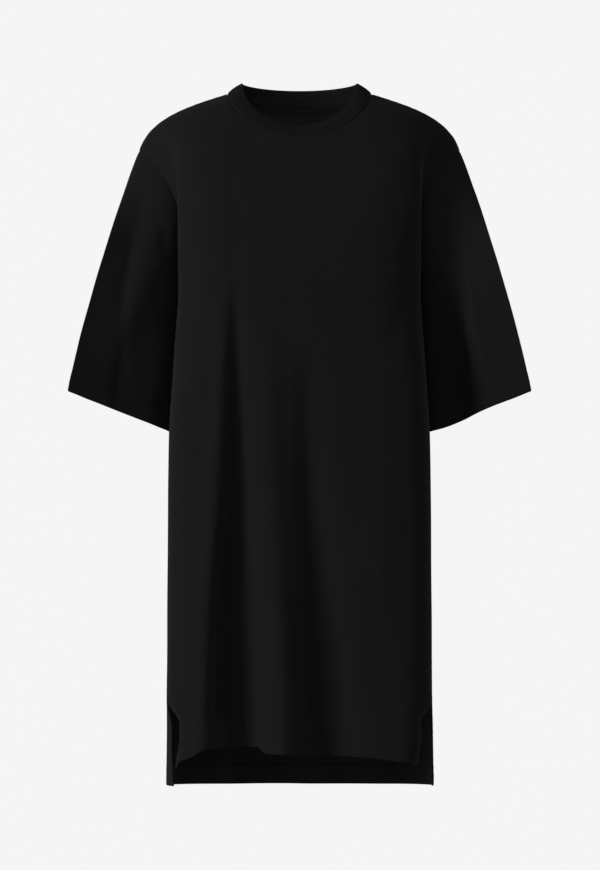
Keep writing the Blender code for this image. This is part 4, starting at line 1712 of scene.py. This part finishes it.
def mottle_group() -> bpy.types.NodeTree:
    """Builds the node group of worn cotton: soft uneven dye and stray fibres.

    Returns:
        The group, with inputs Vector, Dye, Fibre and outputs Tone and Height.
    """
    nodes, given, made = start_group("cotton_mottle", ("Dye", "Fibre"), ("Tone", "Height"))
    dye, fibre = (
        nodes.add("ShaderNodeTexNoise", {"Scale": scale, "Detail": detail})
        for scale, detail in ((14.0, 4.0), (900.0, 2.0))
    )
    parts = []
    for noise, strength in ((dye, "Dye"), (fibre, "Fibre")):
        nodes.link(given.outputs["Vector"], noise.inputs["Vector"])
        even = nodes.math("SUBTRACT", noise.outputs[0], 0.5)
        parts.append(nodes.math("MULTIPLY", even, given.outputs[strength]))
    nodes.link(nodes.math("ADD", nodes.math("ADD", *parts), 1.0), made.inputs["Tone"])
    nodes.link(fibre.outputs[0], made.inputs["Height"])
    return nodes.tree


@dataclass(frozen=True)
class KnitFinish:
    """Dyed cotton knit: its colour, its loops and its soft surface.

    wale, course and loop_depth are a loop's width, height and depth in metres. The last field is
    how much lighter the inner faces are painted: painted fill light standing in for the light that
    reaches the dress's inside.
    """

    name: str
    colour: tuple[float, float, float] = (0.0118, 0.0118, 0.0124)
    roughness: float = 0.86
    specular: float = 0.12
    sheen: float = 0.10
    sheen_roughness: float = 0.42
    sheen_tint: tuple[float, float, float, float] = (0.55, 0.55, 0.58, 1.0)
    wale: float = 0.00085
    course: float = 0.00062
    loop_depth: float = 0.00012
    bump: float = 0.55
    fibre_height: float = 0.35
    dye: float = 0.22
    fibre: float = 0.35
    inner_painted_light: float = 0.9

    def build(self, groups: dict[str, bpy.types.NodeTree]) -> bpy.types.Material:
        """Makes the material.

        Args:
            groups: The shared node groups by name.

        Returns:
            The finished material.
        """
        material = bpy.data.materials.new(self.name)
        material.use_nodes = True
        nodes = Nodes(material.node_tree)
        shader = nodes.fill(
            material.node_tree.nodes["Principled BSDF"],
            {
                "Metallic": 0.0,
                "Specular IOR Level": self.specular,
                "Sheen Weight": self.sheen,
                "Sheen Roughness": self.sheen_roughness,
                "Sheen Tint": self.sheen_tint,
            },
        )
        place = nodes.add("ShaderNodeUVMap", uv_map="Cloth")
        knit, mottle = nodes.add("ShaderNodeGroup"), nodes.add("ShaderNodeGroup")
        knit.node_tree, mottle.node_tree = groups["knit"], groups["mottle"]
        nodes.fill(knit, {"Wale": self.wale, "Course": self.course})
        nodes.fill(mottle, {"Dye": self.dye, "Fibre": self.fibre})
        spot = nodes.add("ShaderNodeTexCoord")
        split = nodes.add("ShaderNodeSeparateXYZ")
        nodes.link(place.outputs[0], knit.inputs["Vector"])
        nodes.link(place.outputs[0], split.inputs[0])
        nodes.link(spot.outputs["Object"], mottle.inputs["Vector"])
        # Base colour: the knit's painted shade between the loops, times the uneven dye.
        dye_and_loop_shade = nodes.math("MULTIPLY", knit.outputs["Tone"], mottle.outputs["Tone"])
        # Inner faces, picked out by their shifted Cloth map, get a lighter base colour: painted
        # fill light for the inside of the dress.
        inside = nodes.math("GREATER_THAN", split.outputs["X"], INNER_SHIFT / 2)
        gain = nodes.math("MULTIPLY_ADD", inside, self.inner_painted_light, 1.0)
        paint = nodes.add("ShaderNodeVectorMath", operation="SCALE")
        paint.inputs[0].default_value = self.colour
        nodes.link(nodes.math("MULTIPLY", dye_and_loop_shade, gain), paint.inputs["Scale"])
        nodes.link(paint.outputs[0], shader.inputs["Base Color"])
        rough = nodes.math("MULTIPLY_ADD", mottle.outputs["Tone"], 0.12, self.roughness - 0.12)
        nodes.link(rough, shader.inputs["Roughness"])
        fibres, loops = mottle.outputs["Height"], knit.outputs["Height"]
        height = nodes.math("MULTIPLY_ADD", fibres, self.fibre_height, loops)
        relief = {"Strength": self.bump, "Distance": self.loop_depth}
        bump = nodes.add("ShaderNodeBump", relief)
        nodes.link(height, bump.inputs["Height"])
        nodes.link(bump.outputs[0], shader.inputs["Normal"])
        return material


# ---------------------------------------------------------------- the room


@dataclass
class Studio:
    """A pale floor, soft lamps all round, a weak lamp inside the neck, and the camera.

    Each of the lamps has its name, its degrees from the front towards the dress's left, its degrees
    above level, the width of its face in metres and its power in watts.
    """

    floor_height: float = -1.38
    floor_radius: float = 60.0
    floor_colour: tuple[float, float, float, float] = (0.6, 0.6, 0.6, 1.0)
    pale: tuple[float, float, float, float] = (0.913, 0.913, 0.913, 1.0)
    fill: float = 0.02
    lamps: tuple[tuple[str, float, float, float, float], ...] = (
        ("key_light", -60.0, 14.0, 1.6, 104.0),
        ("front_light", -12.0, 40.0, 1.6, 25.0),
        ("top_light", 24.0, 60.0, 1.6, 20.0),
        ("low_light", 0.0, -4.0, 1.6, 9.0),
        ("rim_light", 82.0, 8.0, 1.4, 9.0),
    )
    lamp_distance: float = 4.5
    inner_power: float = 0.065
    inner_size: float = 0.12
    inner_place: tuple[float, float, float] = (0.0, -0.055, -0.20)
    inner_way: tuple[float, float, float] = (0.0, 0.125, 0.20)
    camera_distance: float = 24.0
    film_width: float = 36.0
    aim: tuple[float, float] = (0.0007, -0.4663)
    view_height: float = 1.1897

    def build(self) -> None:
        """Builds the room."""
        self.world()
        self.floor()
        for lamp in self.lamps:
            self.lamp(*lamp)
        self.camera()
        self.inner_lamp()

    def world(self) -> None:
        """An even pale surround that gives only a soft fill."""
        world = bpy.data.worlds.new("pale_room")
        bpy.context.scene.world = world
        world.use_nodes = True
        nodes = Nodes(world.node_tree)
        lit = {"Color": (1.0, 1.0, 1.0, 1.0), "Strength": self.fill}
        back = nodes.fill(world.node_tree.nodes["Background"], lit)
        seen = nodes.add("ShaderNodeBackground", {"Color": self.pale})
        nodes.split_by_camera(back, seen, "World Output")

    def floor(self) -> None:
        """A plain pale floor, wide enough to fill every view."""
        material = bpy.data.materials.new("pale_floor")
        material.use_nodes = True
        nodes = Nodes(material.node_tree)
        matte = {"Base Color": self.floor_colour, "Roughness": 1.0}
        shader = nodes.fill(material.node_tree.nodes["Principled BSDF"], matte)
        glow = nodes.add("ShaderNodeEmission", {"Color": self.pale})
        nodes.split_by_camera(shader, glow, "Material Output")
        reach, low = self.floor_radius, self.floor_height
        mesh = bpy.data.meshes.new("floor")
        corners = [(x * reach, y * reach, low) for x, y in ((-1, -1), (1, -1), (1, 1), (-1, 1))]
        mesh.from_pydata(corners, [], [(0, 1, 2, 3)])
        mesh.materials.append(material)
        thing = put("floor", mesh)

    def lamp(self, name: str, azimuth: float, elevation: float, size: float, power: float) -> None:
        """Adds a soft square lamp that faces the middle of the dress.

        Args:
            name: Its name.
            azimuth: Degrees from the front towards the dress's left.
            elevation: Degrees above level.
            size: Width of its face in metres.
            power: In watts.
        """
        round_by, up_by = math.radians(azimuth), math.radians(elevation)
        level = self.lamp_distance * math.cos(up_by)
        height = self.aim[1] + self.lamp_distance * math.sin(up_by)
        light = bpy.data.lights.new(name, "AREA")
        light.size = size
        light.energy = power
        thing = put(name, light)
        thing.location = (level * math.sin(round_by), -level * math.cos(round_by), height)
        way = Vector((self.aim[0], 0.0, self.aim[1])) - thing.location
        thing.rotation_mode = "QUATERNION"
        thing.rotation_quaternion = way.to_track_quat("-Z", "Y")

    def inner_lamp(self) -> None:
        """A weak lamp inside the dress, which shows the inside of the back neck."""
        light = bpy.data.lights.new("inner_lamp", "AREA")
        light.shape, light.size, light.energy = "DISK", self.inner_size, self.inner_power
        thing = put("inner_lamp", light)
        thing.location = self.inner_place
        thing.rotation_euler = Vector(self.inner_way).to_track_quat("-Z", "Y").to_euler()

    def camera(self) -> None:
        """A level camera with a long lens in front of the dress."""
        data = bpy.data.cameras.new("camera")
        data.sensor_width = self.film_width
        data.lens = self.film_width * self.camera_distance / self.view_height
        data.clip_end = 200.0
        thing = put("camera", data)
        thing.location = (self.aim[0], -self.camera_distance, self.aim[1])
        thing.rotation_euler = (QUARTER, 0.0, 0.0)
        bpy.context.scene.camera = thing
        bpy.context.scene.view_settings.view_transform = "Standard"


# ---------------------------------------------------------------- the dress


@dataclass
class Dress:
    """The whole dress: its form, and the finishes of its pieces by their slots."""

    form: BodyForm = field(default_factory=BodyForm)
    finishes: dict[str, bpy.types.Material] = field(default_factory=dict)

    def dye(self) -> None:
        """Makes the finishes."""
        groups = {"knit": knit_group(), "mottle": mottle_group()}
        panels = ("front", "back", "right_sleeve", "left_sleeve")
        finishes = {f"{panel}_jersey": KnitFinish(f"{panel}_jersey_black") for panel in panels}
        # The rib's inner face is painted lighter too, by less than the jersey's: painted light.
        finishes["rib_knit"] = KnitFinish(
            "rib_knit_black", (0.0105, 0.0105, 0.011), wale=0.001, inner_painted_light=0.45
        )
        finishes["neck_tape_twill"] = KnitFinish(
            "neck_tape_black", (0.017, 0.017, 0.018), wale=0.0012, course=0.0012
        )
        finishes["thread"] = KnitFinish(
            "sewing_thread_black", (0.012, 0.012, 0.013), 0.6, wale=0.0004, course=0.0003
        )
        self.finishes = {slot: finish.build(groups) for slot, finish in finishes.items()}

    def place(self, piece: bpy.types.Object, slot: str, *nodes: str) -> bpy.types.Object:
        """Hangs a piece on the dress's one body and logs it.

        Args:
            piece: The piece.
            slot: Not used.
            nodes: The solids that it replaces.

        Returns:
            The piece.
        """
        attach(piece, "root")
        if nodes:
            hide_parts(*nodes)
        LOG.info("%s: %d faces", piece.name, len(piece.data.polygons))
        return piece

    def cut_sleeves(self) -> tuple[Sleeve, Sleeve]:
        """The right and the left sleeve with their folds and creases, not yet shaped."""
        right_folds = (
            SleeveFold(58, 50, 14, 0.05, -1.5),
            SleeveFold(74, 71, 14, 0.10, 2.5),
            SleeveFold(94, 92, 16, 0.10, -2.5),
            SleeveFold(300, 296, 20, 0.10, -8),
            SleeveFold(262, 258, 18, 0.20, 4),
        )
        left_folds = (
            SleeveFold(76, 68, 24, 0.0, -15),
            SleeveFold(112, 106, 18, 0.10, 4),
            SleeveFold(292, 288, 22, 0.05, -9),
            SleeveFold(248, 252, 18, 0.20, 4),
        )
        return (
            Sleeve(Hand.RIGHT, self.form, right_folds, RIGHT_SLEEVE_FRONT, RIGHT_SLEEVE_BACK),
            Sleeve(Hand.LEFT, self.form, left_folds, LEFT_SLEEVE_FRONT, LEFT_SLEEVE_BACK),
        )

    def build(self) -> None:
        """Cuts, sews and dresses every piece."""
        self.dye()
        front = BodyPanel(Side.FRONT, self.form, FRONT_CREASES)
        back = BodyPanel(Side.BACK, self.form, BACK_CREASES)
        right, left = self.cut_sleeves()
        panels = (front, back)
        base = tuple(
            self.form.yoke(panel.side, panel.across, panel.yoke_rows()) for panel in panels
        )
        meet_panels(front, back)
        sewn = tuple(panel.cloth.points[panel.underarm_row :] for panel in panels)
        borders = [(panel.cloth, *panel.border()) for panel in panels]
        for sleeve in (right, left):
            sleeve.shape(base, sewn)
            count = sleeve.cloth.points.shape[1]
            borders.append((sleeve.cloth, np.zeros(count, int), np.arange(count)))
        join_seams(borders)
        for name, maker, slot, node in (
            ("front_body", front, "front_jersey", "front_panel"),
            ("back_body", back, "back_jersey", "back_panel"),
            ("right_sleeve", right, "right_sleeve_jersey", "sleeve_right"),
            ("left_sleeve", left, "left_sleeve_jersey", "sleeve_left"),
            ("neckband", Neckband(self.form), "rib_knit", "neck_rib"),
            ("back_neck_tape", NeckTape(back), "neck_tape_twill", "neck_tape"),
        ):
            self.place(maker.build(name, self.finishes[slot]), slot, node)
        self.sew_panel(front, "front_hem_stitches", "front_jersey")
        self.sew_panel(back, "back_hem_stitches", "back_jersey")
        self.sew_cuff(right, "right_cuff_stitches", "right_sleeve_jersey")
        self.sew_cuff(left, "left_cuff_stitches", "left_sleeve_jersey")

    def sew_panel(self, panel: BodyPanel, name: str, slot: str) -> None:
        """Sews a panel's hem and its slits' edges.

        Args:
            panel: The panel.
            name: Name of the stitches' object.
            slot: A name handed on to place with the piece.
        """
        stitches, cloth = Stitches(), panel.cloth
        for away in (panel.hem.first_row, panel.hem.second_row):
            row = panel.hem.rows().index(away)
            stitches.sew(cloth.points[row, 3:-3], cloth.normals[row, 3:-3])
        edge = int(np.argmin(np.abs(panel.from_edge[0, :20] - panel.slit_hem)))
        rows = slice(4, panel.seam_row + 3)
        for column in (edge, len(panel.across) - 1 - edge):
            stitches.sew(cloth.points[rows, column], cloth.normals[rows, column])
        self.place(stitches.build(name, self.finishes["thread"]), slot)

    def sew_cuff(self, sleeve: Sleeve, name: str, slot: str) -> None:
        """Sews a sleeve's hem.

        Args:
            sleeve: The sleeve.
            name: Name of the stitches' object.
            slot: A name handed on to place with the piece.
        """
        stitches, cloth = Stitches(), sleeve.cloth
        for away in (sleeve.hem.first_row, sleeve.hem.second_row):
            row = len(cloth.points) - 1 - sleeve.hem.rows().index(away)
            lines = (cloth.points[row], cloth.normals[row])
            stitches.sew(*(np.concatenate([line, line[:1]]) for line in lines))
        self.place(stitches.build(name, self.finishes["thread"]), slot)


def main() -> None:
    """Loads the frame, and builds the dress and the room."""
    logging.basicConfig(level=logging.INFO, format="%(message)s")
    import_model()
    Dress().build()
    Studio().build()


if __name__ == "__main__":
    main()
